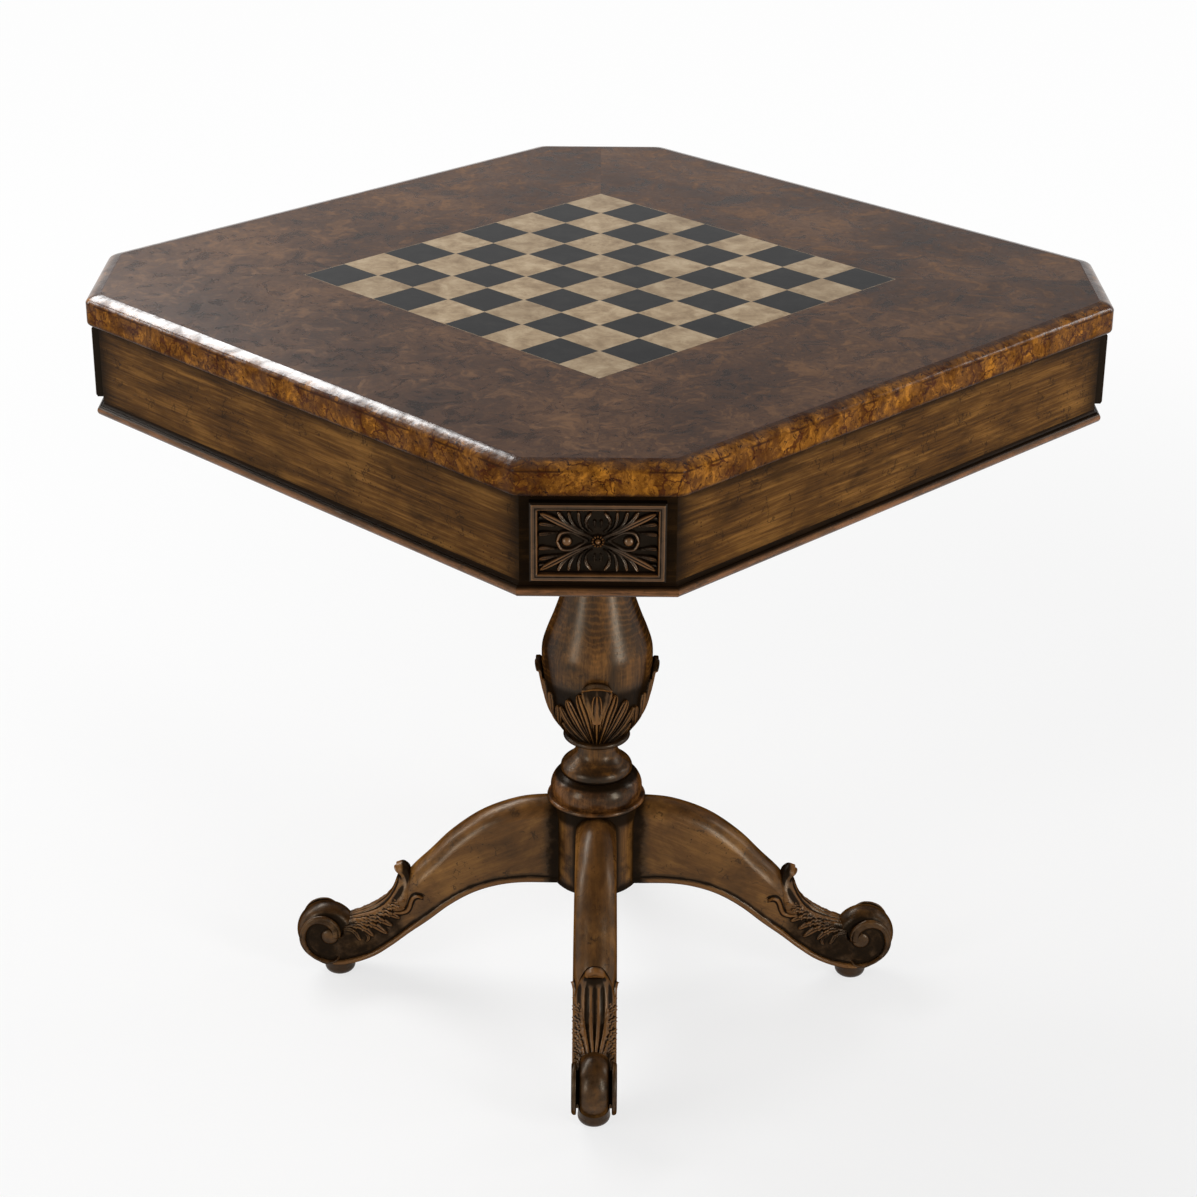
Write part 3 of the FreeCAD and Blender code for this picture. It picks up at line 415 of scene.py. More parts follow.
# Level that the leaf's fingers are drawn higher for each millimetre that the crown draws in
LEAF_LEAN = 0.458
TENDRIL = (
    (207.0, 79.4), (200.5, 79.4), (195.2, 81.8), (192.1, 87.2), (190.4, 93.4), (187.2, 98.9), (182.7, 100.9),
    (178.0, 98.8),
)
TENDRIL_WIDTH = 4.4
TENDRIL_HEIGHT = 3.6
# Reach over which the crown's leaf starts, and angles over the crown where the side's leaf gives way to it
CROWN_LEAF = (196.0, 206.0)
SIDE_LEAF_END = (0.85, 1.25)
CROWN_LEAF_START = (0.6, 0.95)
# Leaf on the crown: spines in reach and distance from the middle
CROWN_FLUTES = (
    (((266.0, 1.2), (248.0, 2.0), (232.0, 3.3), (206.0, 3.9)), 4.8, 3.4),
    (((264.0, 4.4), (247.0, 7.0), (232.0, 9.8), (220.0, 11.4), (206.0, 11.6)), 5.6, 3.5),
    (((262.0, 7.6), (247.0, 11.2), (234.0, 14.2), (218.0, 17.6)), 5.0, 3.3),
)
# Leaf tip: its outer face from the crown up to the lip, its inner face, and half its width there
TIP_FACE = ((226.0, 80.5), (216.0, 90.5), (209.8, 101.0), (207.2, 110.0), (206.9, 117.5), (208.8, 123.8))
TIP_BACK = ((196.0, 84.0), (192.5, 104.0), (191.8, 117.0), (193.8, 125.5), (199.5, 130.2), (206.4, 128.4))
TIP_HALF = (17.0, 19.2, 19.6, 16.4, 11.4, 8.8)
# Dish of the leaf tip: level, spread, half width, depth. Its flutes: width, depth, levels where they end
TIP_DISH = (115.6, 4.6, 11.5, 4.2)
TIP_FLUTE = 7.6
TIP_FLUTE_DEPTH = 2.0
TIP_FLUTE_END = (107.0, 113.0)
# Droop of its sides: at the foot, at the lip, and the share of it outwards and downwards
TIP_DROOP = (8.5, 4.0)
TIP_DROOP_LEAN = (0.62, 0.78)
# Painted shade with glaze in the hollow under its lip, by levels and by share of the half width, and levels of the
# painted shade behind it
TIP_HOLLOW_LEVELS = ((109.0, 114.0), (122.8, 123.8))
TIP_HOLLOW_SIDES = (0.62, 0.8)
TIP_BEHIND_LEVELS = ((104.0, 110.0), (117.0, 121.0))
# Rings of a tip: powers of its thickness and width, how sharply its front is limited, and where its back starts
TIP_THICK_POWER = 0.75
TIP_SIDE_POWER = 0.8
TIP_FRONT = 2.5
TIP_INSIDE = (0.0, 0.2)
# Glaze and painted shade: reach of the painted shade by the hub and behind the leaf and of the glaze over the carved
# part, distance from the eye, relief of high parts free of painted shade, distance from the bead's line and spread of
# the painted shade there, and the height over the shoulder where the crown's glaze starts
SHADE_BY_HUB = (39.0, 66.0)
SHADE_BEHIND_LEAF = (184.0, 206.0)
GLAZE_CARVED = (186.0, 212.0)
GLAZE_VOLUTE = (22.0, 34.0)
SHADE_FREE_RELIEF = (0.9, 2.6)
SHADE_BY_BEAD = (4.4, 2.8)
GLAZE_CROWN = (-1.0, 5.0)
LOW_BY_BEAD = 1.2
# Shares: painted shade by the hub, beside the bead, behind the leaf, on the scroll's rim where it sinks under the flank
# (open) and at the cushion's edge by its groove; glaze on the plain and carved parts, the crown and the cushion
LEG_GLAZE_AND_SHADE = {
    "hub": 0.97, "bead": 0.85, "behind": 0.78, "behind_in_volute": 0.06, "plain": 0.2, "carved": 0.2,
    "carved_in_volute": 0.24, "crown": 0.42, "cushion": 0.6, "cushion_edge": 0.4, "open": 0.8,
}
# Glaze on the tip, and painted shade in the hollow under its lip, in its flutes and on its back where it faces the leg
TIP_GLAZE_AND_SHADE = {"plain": 0.34, "hollow": 0.62, "flute": 0.55, "behind": 0.6}
# Relief that the plain crown counts as having, so that it takes none of the painted shade by the bead and behind the
# leaf
PLAIN_CROWN = 2.4


def rim_radius(angle):
    """Radius of the scroll's outline at an angle in degrees: round outside, winding in over the top."""
    return np.interp(np.mod(angle, 360.0), RIM_ANGLES, RIM_RADII)


def open_share(angle):
    """1 at the angles in degrees where the leg's flank runs into the scroll, 0 where its rim stands free."""
    return between(np.mod(angle, 360.0), *OPEN_ANGLES)


def leg_glaze_and_shade(reach, level, relief):
    """Share of dark glaze and painted shade laid on the leg: painted shade by the hub, beside the bead and behind the
    leaf, and glaze over the leg that is heavier on the carving and in the scroll.
    """
    share = LEG_GLAZE_AND_SHADE
    hub = share["hub"] * (1.0 - smooth_step(reach, *SHADE_BY_HUB))
    gap, _ = nearest_on(through(BEAD_LINE, GLAZE_PIECES)[:, :2], reach, level)
    bead = share["bead"] * ridge(gap, *SHADE_BY_BEAD) * (relief < LOW_BY_BEAD)
    volute = 1.0 - smooth_step(np.hypot(reach - EYE[0], level - EYE[1]), *GLAZE_VOLUTE)
    behind = (share["behind"] + share["behind_in_volute"] * volute) * smooth_step(reach, *SHADE_BEHIND_LEAF)
    behind = behind * (1.0 - smooth_step(relief, *SHADE_FREE_RELIEF))
    carved = (share["carved"] + share["carved_in_volute"] * volute) * smooth_step(reach, *GLAZE_CARVED)
    carved = share["plain"] + carved
    return highest((hub, bead, behind, carved))


def leaf_fingers(reach, level):
    """Relief of the leaf on the leg's side, from its fingers laid over each other."""
    return joined(
        blade(reach, level, spine, width, height, root=0.5, point=3.0, swell=0.6, vein=FINGER_VEIN)
        for spine, width, height in FLANK_FINGERS
    )


def flank_place(reach, level):
    """Distance of the carved flank from the leg's middle plane at each place of its side view, and its relief.

    The flank sinks behind the leaf. The bead, the scroll's spiral, the fingers, the tendril and the eye
    stand on it as half rounds, and the highest of them counts.
    """
    ground = FLANK - SUNK * smooth_step(reach, *FLANK_SINK)
    line = through(BEAD_LINE, BEAD_PIECES)
    gap, share = nearest_on(line[:, :2], reach, level)
    lengths = lengths_along(line[:, :2])
    half = np.interp(share, lengths / lengths[-1], line[:, 2])
    depth, distance, spread = BEAD_CHANNEL
    bead = (BEAD_TOP - ground) * half_round(gap, half) - depth * ridge(gap - half, distance, spread) * (gap > half)
    tendril = blade(reach, level, TENDRIL, TENDRIL_WIDTH, TENDRIL_HEIGHT, root=0.9, point=4.0)
    rounds = [knob(reach, level, place) for place in (KNOB, EYE)]
    relief = highest((bead, leaf_fingers(reach, level), tendril, *rounds))
    return ground + relief, relief


def crown_relief(reach, side):
    """Height of the crown's leaf over its sunk ground, from the fingers on both sides of its middle."""
    fingers = [blade(reach, np.abs(side), spine, width, height, root=0.55) for spine, width, height in CROWN_FLUTES]
    return smooth_step(reach, *CROWN_LEAF) * joined(fingers, 1.0, 0.4)


def under_scroll(side, reach, level):
    """Flank drawn in under the scroll's disc, along its upper outline, and towards the cushion at its end."""
    out, up = reach - SCROLL_CENTRE[0], level - SCROLL_CENTRE[1]
    from_scroll = np.hypot(out, up)
    angle = np.degrees(np.arctan2(up, out))
    seat = rim_radius(angle) - SEAT_GAP - SEAT_OPEN * open_share(angle)
    side = side - SEAT_DEPTH * (1.0 - smooth_step(from_scroll, seat - SEAT_DEPTH, seat))
    upper = smooth_step(level, *UPPER_SCROLL)
    depth, distance, spread = OUTLINE_GROOVE
    side = side - depth * upper * ridge(from_scroll - rim_radius(angle), distance, spread)
    return side * (1.0 - NARROWING * upper * smooth_step(reach, *NARROWING_REACH))


def leg_body(rows=300, flank_columns=66, crown_columns=36, under_columns=5):
    """The leg without its scroll: a cross-section carried along the stations.

    Each section runs from the middle of the underside round the flank, whose distance is the carved
    relief, and over the crown, which is an arc of a circle, and is mirrored to the other side. The flank's
    leaf goes on over the lower part of the arc, square to it, and the crown's leaf fills the rest.
    """
    share = np.interp(np.linspace(0.0, 1.0, rows), (0.0, PLAIN_ROWS, 1.0), (0.0, PLAIN_LENGTH, 1.0))
    steps = STATION_STEPS * rows
    station = through(LEG_STATIONS, steps)[np.rint(share * (steps - 1)).astype(int)]
    crown, under = station[:, None, 0:2], station[:, None, 2:4]
    height = np.linalg.norm(crown - under, axis=2, keepdims=True)
    up = (crown - under) / height
    shoulder = height[:, :, 0] - CROWN_RISE
    flank_rise = UNDER_EDGE + (shoulder - UNDER_EDGE) * np.linspace(0.0, 1.0, flank_columns)[None, :]
    rise = np.concatenate((np.zeros((rows, under_columns)), flank_rise), axis=1)
    place = under + up * rise[:, :, None]
    reach, level = place[:, :, 0], place[:, :, 1]
    side, relief = flank_place(reach, level)
    swell = np.sin(np.pi * np.clip(rise / shoulder, 0.0, 1.0)) * FLANK_SWELL
    side = under_scroll(side + swell * (1.0 - smooth_step(reach, *SWELL_END)), reach, level)
    edge = side[:, under_columns:under_columns + 1]
    side[:, :under_columns] = (edge - UNDER_DRAW) * np.linspace(0.0, 1.0, under_columns)
    edge = side[:, -1:]
    turn = np.linspace(0.0, np.pi / 2, crown_columns + 1)[None, 1:]
    crown_side = edge * np.cos(turn)
    circle = (edge**2 + CROWN_RISE**2) / (2 * CROWN_RISE)
    crown_rise = shoulder + np.sqrt(circle**2 - crown_side**2) - (circle - CROWN_RISE)
    crown_place = under + up * crown_rise[:, :, None]
    reach, level = crown_place[:, :, 0], crown_place[:, :, 1]
    leaf = leaf_fingers(reach, level + LEAF_LEAN * (edge - crown_side)) * (1.0 - smooth_step(turn, *SIDE_LEAF_END))
    flutes = crown_relief(reach, crown_side) * smooth_step(turn, *CROWN_LEAF_START)
    crown_rise = crown_rise + np.maximum(leaf * np.sin(turn), flutes)
    crown_rise = crown_rise - SUNK * smooth_step(reach, *CROWN_LEAF) * np.sin(turn)
    crown_side = crown_side + leaf * np.cos(turn)
    crown_relieved = np.maximum(leaf, flutes) + PLAIN_CROWN * (reach < CROWN_LEAF[0])
    relief = np.concatenate((relief, crown_relieved), axis=1)
    side = np.concatenate((side, crown_side), axis=1)
    rise = np.concatenate((rise, crown_rise), axis=1)
    place = under + up * rise[:, :, None]
    reach, level = place[:, :, 0], place[:, :, 1]
    crown_glaze = LEG_GLAZE_AND_SHADE["crown"] * smooth_step(rise - shoulder, *GLAZE_CROWN)
    glaze_and_shade = np.maximum(leg_glaze_and_shade(reach, level, relief), crown_glaze)
    half = np.stack((reach, side, level, glaze_and_shade), axis=2)
    mirrored = half[:, -2:0:-1] * np.array([1.0, -1.0, 1.0, 1.0])
    return capped(np.concatenate((half, mirrored), axis=1))


def capped(ring):
    """Rings with a closing ring at each end, whose points all lie at the end ring's middle."""
    start = np.broadcast_to(ring[:1].mean(axis=1, keepdims=True), ring[:1].shape)
    end = np.broadcast_to(ring[-1:].mean(axis=1, keepdims=True), ring[-1:].shape)
    return np.concatenate((start, ring, end), axis=0)


def scroll_profile(face_columns=36):
    """Profile of the scroll from the middle of one face to the other: side and radius.

    A domed cushion, a groove on each hand of it, and a rim with rounded corners whose face is carved.
    """
    cushion_side = CUSHION_HALF * np.sin(np.linspace(-np.pi / 2, np.pi / 2, 33))
    cushion = CUSHION_EDGE + CUSHION_DOME * np.sqrt(np.maximum(1.0 - (cushion_side / CUSHION_HALF) ** 2, 0.0))
    middle = np.stack((cushion_side, cushion), axis=1)
    turn = np.linspace(0.0, np.pi / 2, 6)
    away, back = 1.0 - np.cos(turn), 1.0 - np.sin(turn)
    inner, outer = RIM_CORNERS
    inner_corner = np.stack((RIM_INSIDE + inner * away, SCROLL_RIM - inner * back), axis=1)
    outer_corner = np.stack((BEAD_TOP - outer * back, SCROLL_RIM - outer * away), axis=1)
    groove_sides = (CUSHION_HALF + 0.2, CUSHION_HALF + 1.0, RIM_INSIDE)
    groove_radii = (SCROLL_GROOVE + 1.0, SCROLL_GROOVE, SCROLL_GROOVE + 0.8)
    groove = np.stack((groove_sides, groove_radii), axis=1)
    face_radii = np.linspace(SCROLL_RIM - outer - 0.3, 0.0, face_columns)
    face = np.stack((np.full(face_columns, BEAD_TOP), face_radii), axis=1)
    right = np.concatenate((groove, inner_corner, outer_corner, face), axis=0)
    left = right[::-1] * np.array([-1.0, 1.0])
    return np.concatenate((left, middle, right), axis=0), face_columns


def leg_scroll(rows=220):
    """The scroll: its profile turned about the line across the leg, with the carved relief on both faces.

    The cushion is round. The rims and faces follow the outline that winds in, and sink under the leg's
    flank where it runs into the scroll.
    """
    profile, face_columns = scroll_profile()
    angle = np.linspace(0.0, 360.0, rows, endpoint=False)[None, :]
    off, opened = np.abs(profile[:, :1]), open_share(angle)
    disc = off > CUSHION_HALF + 0.05
    radius = profile[:, 1:] * np.where(disc, rim_radius(angle) / SCROLL_RIM, 1.0)
    side = profile[:, :1] + 0.0 * angle
    side = side - np.sign(side) * RIM_SINK * disc * opened
    reach = SCROLL_CENTRE[0] + radius * np.cos(np.radians(angle))
    level = SCROLL_CENTRE[1] + radius * np.sin(np.radians(angle))
    carved, relief = flank_place(reach[:face_columns], level[:face_columns])
    carved = carved - FACE_SINK * opened
    side[:face_columns] = -carved
    side[-face_columns:] = carved[::-1]
    # Painted shade at the cushion's edges by the grooves and on the rims where they sink under the flank, over the
    # cushion's own glaze
    edge = smooth_step(off, CUSHION_HALF - 3.0, CUSHION_HALF) * (off < RIM_INSIDE + 0.4)
    glaze_and_shade = LEG_GLAZE_AND_SHADE["cushion"] + LEG_GLAZE_AND_SHADE["cushion_edge"] * edge + 0.0 * angle
    glaze_and_shade = np.maximum(glaze_and_shade, LEG_GLAZE_AND_SHADE["open"] * opened * disc)
    glaze_and_shade[:face_columns] = leg_glaze_and_shade(reach[:face_columns], level[:face_columns], relief)
    glaze_and_shade[-face_columns:] = glaze_and_shade[:face_columns][::-1]
    return np.stack((reach, side, level, glaze_and_shade), axis=2)


def signed_power(value, power):
    """Power of a value's size, with the value's sign."""
    return np.sign(value) * np.abs(value) ** power


def tip_rings(face, back, half_widths, rows, columns, side_power):
    """Frame of a leaf tip's rings: levels, half widths, angles, distances from the middle, and places.

    The places come from a function of the cut into the front face. Each ring goes round between the face and
    the back as a circle whose cosine and sine are raised to a power.
    """
    face, back = through(face, rows), through(back, rows)
    half = np.interp(np.linspace(0, 1, rows), np.linspace(0, 1, len(half_widths)), half_widths)[:, None]
    angle = around(columns)
    side = half * signed_power(np.sin(angle), side_power)
    middle, thick = (face + back)[:, None, :] / 2, (face - back)[:, None, :] / 2
    front = np.clip(np.cos(angle) * TIP_FRONT, 0.0, 1.0)
    inside = smooth_step(-np.cos(angle), *TIP_INSIDE)

    def places(cut):
        share = signed_power(np.cos(angle), TIP_THICK_POWER) - cut * front / np.linalg.norm(thick, axis=2)
        place = middle + thick * share[:, :, None]
        return place[:, :, 0], place[:, :, 1]

    return face[:, 1:], half, side, front, inside, places


def leg_tip(rows=60, columns=112):
    """Curled tip of the leaf: rings between its two faces, drawn out to its width.

    The outer face is fluted by the cosine of the distance from the middle and dished below the lip. The
    sides droop and turn back with the square of that distance.
    """
    rings = tip_rings(TIP_FACE, TIP_BACK, TIP_HALF, rows, columns, TIP_SIDE_POWER)
    level, half, side, front, inside, places = rings
    dish_level, dish_spread, dish_half, dish_depth = TIP_DISH
    dish = dish_depth * ridge(level, dish_level, dish_spread) * half_round(np.abs(side), dish_half)
    flute = TIP_FLUTE_DEPTH * np.abs(np.cos(np.pi * side / TIP_FLUTE)) ** 3 * (1.0 - smooth_step(level, *TIP_FLUTE_END))
    along = np.linspace(0.0, 1.0, rows)[:, None]
    turned = (side / half) ** 2
    droop = TIP_DROOP[0] * turned**1.5 * (1.0 - along) + TIP_DROOP[1] * turned * along
    # Painted shade in the hollow under the lip, in the flutes and behind the tip, over a plain glaze
    hollow = between(level, *TIP_HOLLOW_LEVELS) * (1.0 - smooth_step(np.abs(side) / half, *TIP_HOLLOW_SIDES))
    behind = inside * between(level, *TIP_BEHIND_LEVELS)
    cuts = TIP_GLAZE_AND_SHADE["hollow"] * hollow + TIP_GLAZE_AND_SHADE["flute"] * flute
    glaze_and_shade = np.clip(TIP_GLAZE_AND_SHADE["plain"] + front * cuts + TIP_GLAZE_AND_SHADE["behind"] * behind, 0.0, 1.0)
    reach, height = places(dish + flute)
    ring = (reach - TIP_DROOP_LEAN[0] * droop, side, height - TIP_DROOP_LEAN[1] * droop, glaze_and_shade)
    return capped(np.stack(ring, axis=2))


# ---------------------------------------------------------------- turned and carved baluster

BELL = (
    (36.0, 241.4), (36.4, 244.5), (35.2, 248.6), (30.6, 252.8), (25.6, 257.4), (22.3, 262.0), (21.3, 267.0),
    (21.3, 275.0),
)
CUP_RING = ((21.3, 276.6), (27.5, 277.0), (31.8, 278.1), (33.8, 280.6), (33.2, 283.0), (30.4, 284.2))
PEAR = (
    (29.4, 284.2), (38.5, 297.0), (45.0, 309.0), (49.2, 322.0), (52.4, 338.0), (54.7, 355.0), (55.5, 368.0),
    (54.9, 382.0), (50.4, 397.0), (43.9, 414.0), (37.6, 432.5), (32.6, 450.0), (28.4, 470.0), (25.2, 492.0),
    (23.4, 512.0), (23.0, 527.6),
)
ASTRAGAL = ((24.8, 528.2), (29.2, 529.4), (31.0, 534.0), (29.2, 538.6), (24.8, 539.8))
CAPITAL = ((24.8, 540.4), (25.4, 556.0), (28.4, 576.0), (35.0, 592.0), (44.0, 601.6))
# Foot on the collar, and the drum over the capital
FOOT_RADII = (34.8, 35.6)
FOOT_STEP = 0.6
DRUM_LOW = 601.8
DRUM_CHAMFER = 1.0
DRUM_RADIUS = 48.0
# Cup: its levels, the radius on which its leaves are unrolled, and how deep it sits in the pear
CUP_LOW = 283.0
CUP_HIGH = 351.0
CUP_ARC_RADIUS = 50.0
CUP_SEAT = 0.9
# Radius of the cup's lining inside the pear, at the top and at the foot
CUP_LINING = (40.0, 20.0)
# Lobes of one cup leaf, unrolled: distance round the pear from the leaf's middle and level, width, height
CUP_LOBES = (
    (((0.0, 284.0), (0.0, 306.0), (0.0, 330.0), (0.0, 352.0)), 14.0, 5.6),
    (((4.8, 285.0), (7.2, 303.0), (11.0, 325.0), (14.8, 342.0), (16.2, 350.5)), 13.6, 5.2),
    (((10.6, 285.0), (16.0, 302.0), (22.0, 320.0), (26.4, 333.0), (28.2, 341.5)), 12.8, 5.0),
    (((17.4, 285.0), (25.4, 298.0), (31.8, 311.0), (36.0, 322.0), (37.6, 330.0)), 11.2, 4.6),
    (((25.6, 284.6), (33.0, 292.0), (38.0, 302.0), (39.2, 310.0)), 8.6, 4.0),
)
# Depth of a lobe's flutes as a share of its height
LOBE_FLUTES = 0.55
# Tips of the cup's leaves: outer and inner face in radius and level, half width, and level of the lip
CUP_TIP_FACE = ((50.6, 316.0), (54.0, 328.0), (56.8, 340.0), (58.4, 350.0), (59.8, 356.6), (62.4, 361.2))
CUP_TIP_BACK = ((46.0, 320.0), (50.5, 336.0), (53.4, 349.0), (55.2, 359.0), (57.4, 366.2), (61.4, 366.0))
CUP_TIP_HALF = (4.4, 6.6, 9.4, 12.2, 13.4, 12.2)
CUP_TIP_LIP = 358.4
CUP_SIDE_POWER = 0.7
# Groove between a cup leaf's lobes: depth and softness, and relief of the parts free of painted shade
CUP_GROOVE = (2.4, 0.8)
CUP_HIGH_PARTS = (1.4, 4.2)
# Dish and ribs of the cup's tips: depths and levels where they start, levels where the painted shade in the ribs'
# valleys starts, share of the width where they end
CUP_DISH = 1.2
CUP_DISH_START = (334.0, 348.0)
CUP_RIB = 2.0
CUP_RIB_START = (318.0, 334.0)
CUP_RIB_SHADE = (320.0, 340.0)
CUP_RIB_SIDES = (0.74, 0.94)
CUP_LIP_EDGE = (CUP_TIP_LIP - 1.6, CUP_TIP_LIP + 0.6)
# Droop of the tips' sides and its power, and share of the painted shade between the leaves that the high parts are free
# of
CUP_DROOP = (5.5, 2.4)
CUP_FREE = 0.8
# Glaze on the cup's tips, and painted shade in the ribs' valleys, in the dish and on the inner side against the pear
CUP_TIP_GLAZE_AND_SHADE = {"plain": 0.3, "valley": 0.85, "dish": 0.3, "inside": 0.45}


def lathe_line():
    """Half outline of the turning: smooth stretches between sharp steps, from the foot to the drum's top."""
    foot = [(0.0, COLLAR_TOP), (FOOT_RADII[0], COLLAR_TOP), (FOOT_RADII[1], COLLAR_TOP + FOOT_STEP)]
    stretches = ((BELL, 30), (CUP_RING, 16), (PEAR, 90), (ASTRAGAL, 14), (CAPITAL, 20))
    top = [(DRUM_RADIUS - DRUM_CHAMFER, DRUM_LOW), (DRUM_RADIUS, DRUM_LOW + DRUM_CHAMFER)]
    top += [(DRUM_RADIUS, COLUMN_TOP), (0.0, COLUMN_TOP)]
    return np.concatenate((foot, *(through(points, count) for points, count in stretches), top))


def turned_body(columns=192):
    """Surface of revolution of the outline about the table's axis."""
    line = lathe_line()
    angle = around(columns)
    radius, level = line[:, :1], line[:, 1:]
    return np.stack((radius * np.cos(angle), radius * np.sin(angle), level + 0.0 * angle, 0.0 * level * angle), axis=2)


def cup_relief(arc, level):
    """Height of the leaves over the pear, unrolled: fluted lobes that rise from the ring and part to both sides."""
    side = np.abs(arc)
    lobes = [
        blade(side, level, spine, width, height, root=0.5, point=7.0, flutes=LOBE_FLUTES)
        for spine, width, height in CUP_LOBES
    ]
    return joined(lobes, *CUP_GROOVE)


def leaf_cup(rows=124, columns=720, inner_rows=4):
    """The cup: the pear's radius plus the leaves' relief, closed by a lining inside the pear."""
    pear = through(PEAR, 200)
    level = np.linspace(CUP_LOW, CUP_HIGH, rows)[:, None]
    angle = around(columns)
    quarter = np.pi / 2
    arc = ((angle + quarter) % quarter - quarter / 2) * CUP_ARC_RADIUS
    relief = cup_relief(arc + 0.0 * level, level + 0.0 * arc)
    radius = np.interp(level, pear[:, 1], pear[:, 0]) - CUP_SEAT + relief
    # Painted shade on the ground between the leaves and on the lining, with a lighter glaze on the leaves' high parts
    glaze_and_shade = 1.0 - CUP_FREE * smooth_step(relief, *CUP_HIGH_PARTS)
    lining = np.broadcast_to(np.linspace(*CUP_LINING, inner_rows)[:, None], (inner_rows, columns))
    radius = np.concatenate((radius, lining))
    level = np.concatenate((level, np.linspace(CUP_HIGH, CUP_LOW, inner_rows)[:, None]))
    glaze_and_shade = np.concatenate((glaze_and_shade, np.ones((inner_rows, columns))))
    points = np.stack((radius * np.cos(angle), radius * np.sin(angle), level + 0.0 * angle, glaze_and_shade), axis=2)
    return np.concatenate((points, points[:1]), axis=0)


def cup_tip(turn, rows=44, columns=96):
    """Curled tip of one cup leaf: rings between its two faces, bent round the pear and dished below the lip.

    Its ribs come from the cosine of the distance from the middle, and its sides droop with a power of it.
    """
    rings = tip_rings(CUP_TIP_FACE, CUP_TIP_BACK, CUP_TIP_HALF, rows, columns, CUP_SIDE_POWER)
    level, half, side, front, inside, places = rings
    across = np.abs(side / half)
    limits = (1.0 - smooth_step(across, *CUP_RIB_SIDES)) * (1.0 - smooth_step(level, *CUP_LIP_EDGE))
    valley = (0.5 - 0.5 * np.cos(3.0 * np.pi * side / half)) * limits
    dish = CUP_DISH * limits * smooth_step(level, *CUP_DISH_START)
    ribs = CUP_RIB * valley * smooth_step(level, *CUP_RIB_START)
    # Painted shade in the ribs' valleys, in the dish and on the inner side, over a plain glaze
    share = CUP_TIP_GLAZE_AND_SHADE
    cuts = share["valley"] * valley * smooth_step(level, *CUP_RIB_SHADE) + share["dish"] * dish
    glaze_and_shade = np.clip(share["plain"] + front * cuts + share["inside"] * inside, 0.0, 1.0)
    radius, height = places(dish + ribs)
    height = height - CUP_DROOP[0] * across ** CUP_DROOP[1] * np.linspace(0.0, 1.0, rows)[:, None]
    bend = side / CUP_ARC_RADIUS + math.radians(turn)
    return capped(np.stack((radius * np.cos(bend), radius * np.sin(bend), height, glaze_and_shade), axis=2))


# ---------------------------------------------------------------- rosette plates

# Width of the frame's band, height of the sunk field, half width of the bead
PLATE_BAND = 6.4
PLATE_FIELD = 1.6
PLATE_BEAD = 1.3
# Eased outer edge and step down to the bead: depth, and distances from the edge where they start and end
PLATE_EASED = (1.6, 0.0, 1.8)
PLATE_STEP = (1.5, 3.6, 4.6)
BEAD_RISE = 1.5
# Ring of beads round the middle: radius of its middle, half width, height, number of beads
BOSS_RING = (4.2, 1.3, 4.6, 12.0)
# Button in the middle: place, radius, height
BUTTON = (0.0, 0.0, 2.5, 6.0)
# Glaze and painted shade: relief free of the painted shade on the sunk ground, distances from the edge where the
# painted shade on the rim ends, place and spread of the painted shade line by the step
ROSETTE_HIGH = (1.4, 4.4)
ROSETTE_RIM = (0.4, 2.0)
ROSETTE_LINE = (4.6, 0.7)
ROSETTE_GLAZE_AND_SHADE = {"free": 0.72, "rim": 0.95, "band": 0.24, "line": 0.75, "least": 0.12}
# Carving of one quarter of the field and of its middle lines: spine, width, height, power of its swell
QUARTER_LEAVES = (
    (((5.0, 3.4), (16.0, 8.0), (30.0, 15.6), (46.0, 24.4)), 8.2, 5.6, 0.8),
    (((15.0, 9.4), (22.0, 13.4), (28.0, 18.8), (32.0, 25.6)), 6.2, 4.8, 1.5),
    (((11.6, 8.2), (17.4, 12.0), (21.6, 18.0), (23.4, 25.4)), 5.6, 4.6, 1.5),
    (((8.4, 7.8), (12.6, 11.4), (15.0, 18.0), (15.4, 25.4)), 5.2, 4.6, 1.5),
    (((28.0, 12.0), (35.0, 13.2), (41.0, 14.4), (47.0, 15.4)), 6.8, 4.8, 1.5),
    (((32.0, 7.2), (38.0, 6.6), (43.0, 6.2), (47.2, 6.2)), 6.8, 4.6, 1.5),
    (((35.0, 19.2), (39.6, 20.4), (43.4, 20.8), (47.0, 20.4)), 4.4, 4.2, 1.0),
    (((4.8, 7.6), (8.6, 11.6), (9.4, 18.0), (5.4, 24.6)), 4.8, 4.8, 1.2),
    (((2.2, 11.5), (2.8, 14.6), (2.4, 18.0)), 3.4, 3.6, 1.0),
)
# Line round the eye, and the ball in it: place, radius, height
EYE_LINE = ((8.5, 0.0), (14.0, 3.6), (22.0, 7.6), (29.0, 6.8), (32.6, 0.0))
EYE_BALL = (24.6, 0.0, 4.6, 5.0)


def rosette_relief(u, v):
    """Relief of the carving over the sunk field, the same in all four quarters.

    Leaf fingers, a line and a ball lie in each quarter. Round the middle goes a ring of beads, whose height
    follows the cosine of the angle, and a button stands in it.
    """
    side, rise = np.abs(u), np.abs(v)
    reliefs = [
        blade(side, rise, spine, width, height, vein=0.3, root=0.25, point=4.0, swell=swell)
        for spine, width, height, swell in QUARTER_LEAVES
    ]
    reliefs.append(blade(side, rise, EYE_LINE, 3.4, 4.0, root=0.8, point=30.0))
    reliefs += [knob(side, rise, place) for place in (EYE_BALL, BUTTON)]
    radius, half, height, count = BOSS_RING
    beads = 0.75 + 0.25 * np.cos(count * np.arctan2(v, u))
    reliefs.append(height * beads * half_round(np.abs(np.hypot(u, v) - radius), half))
    return highest(reliefs)


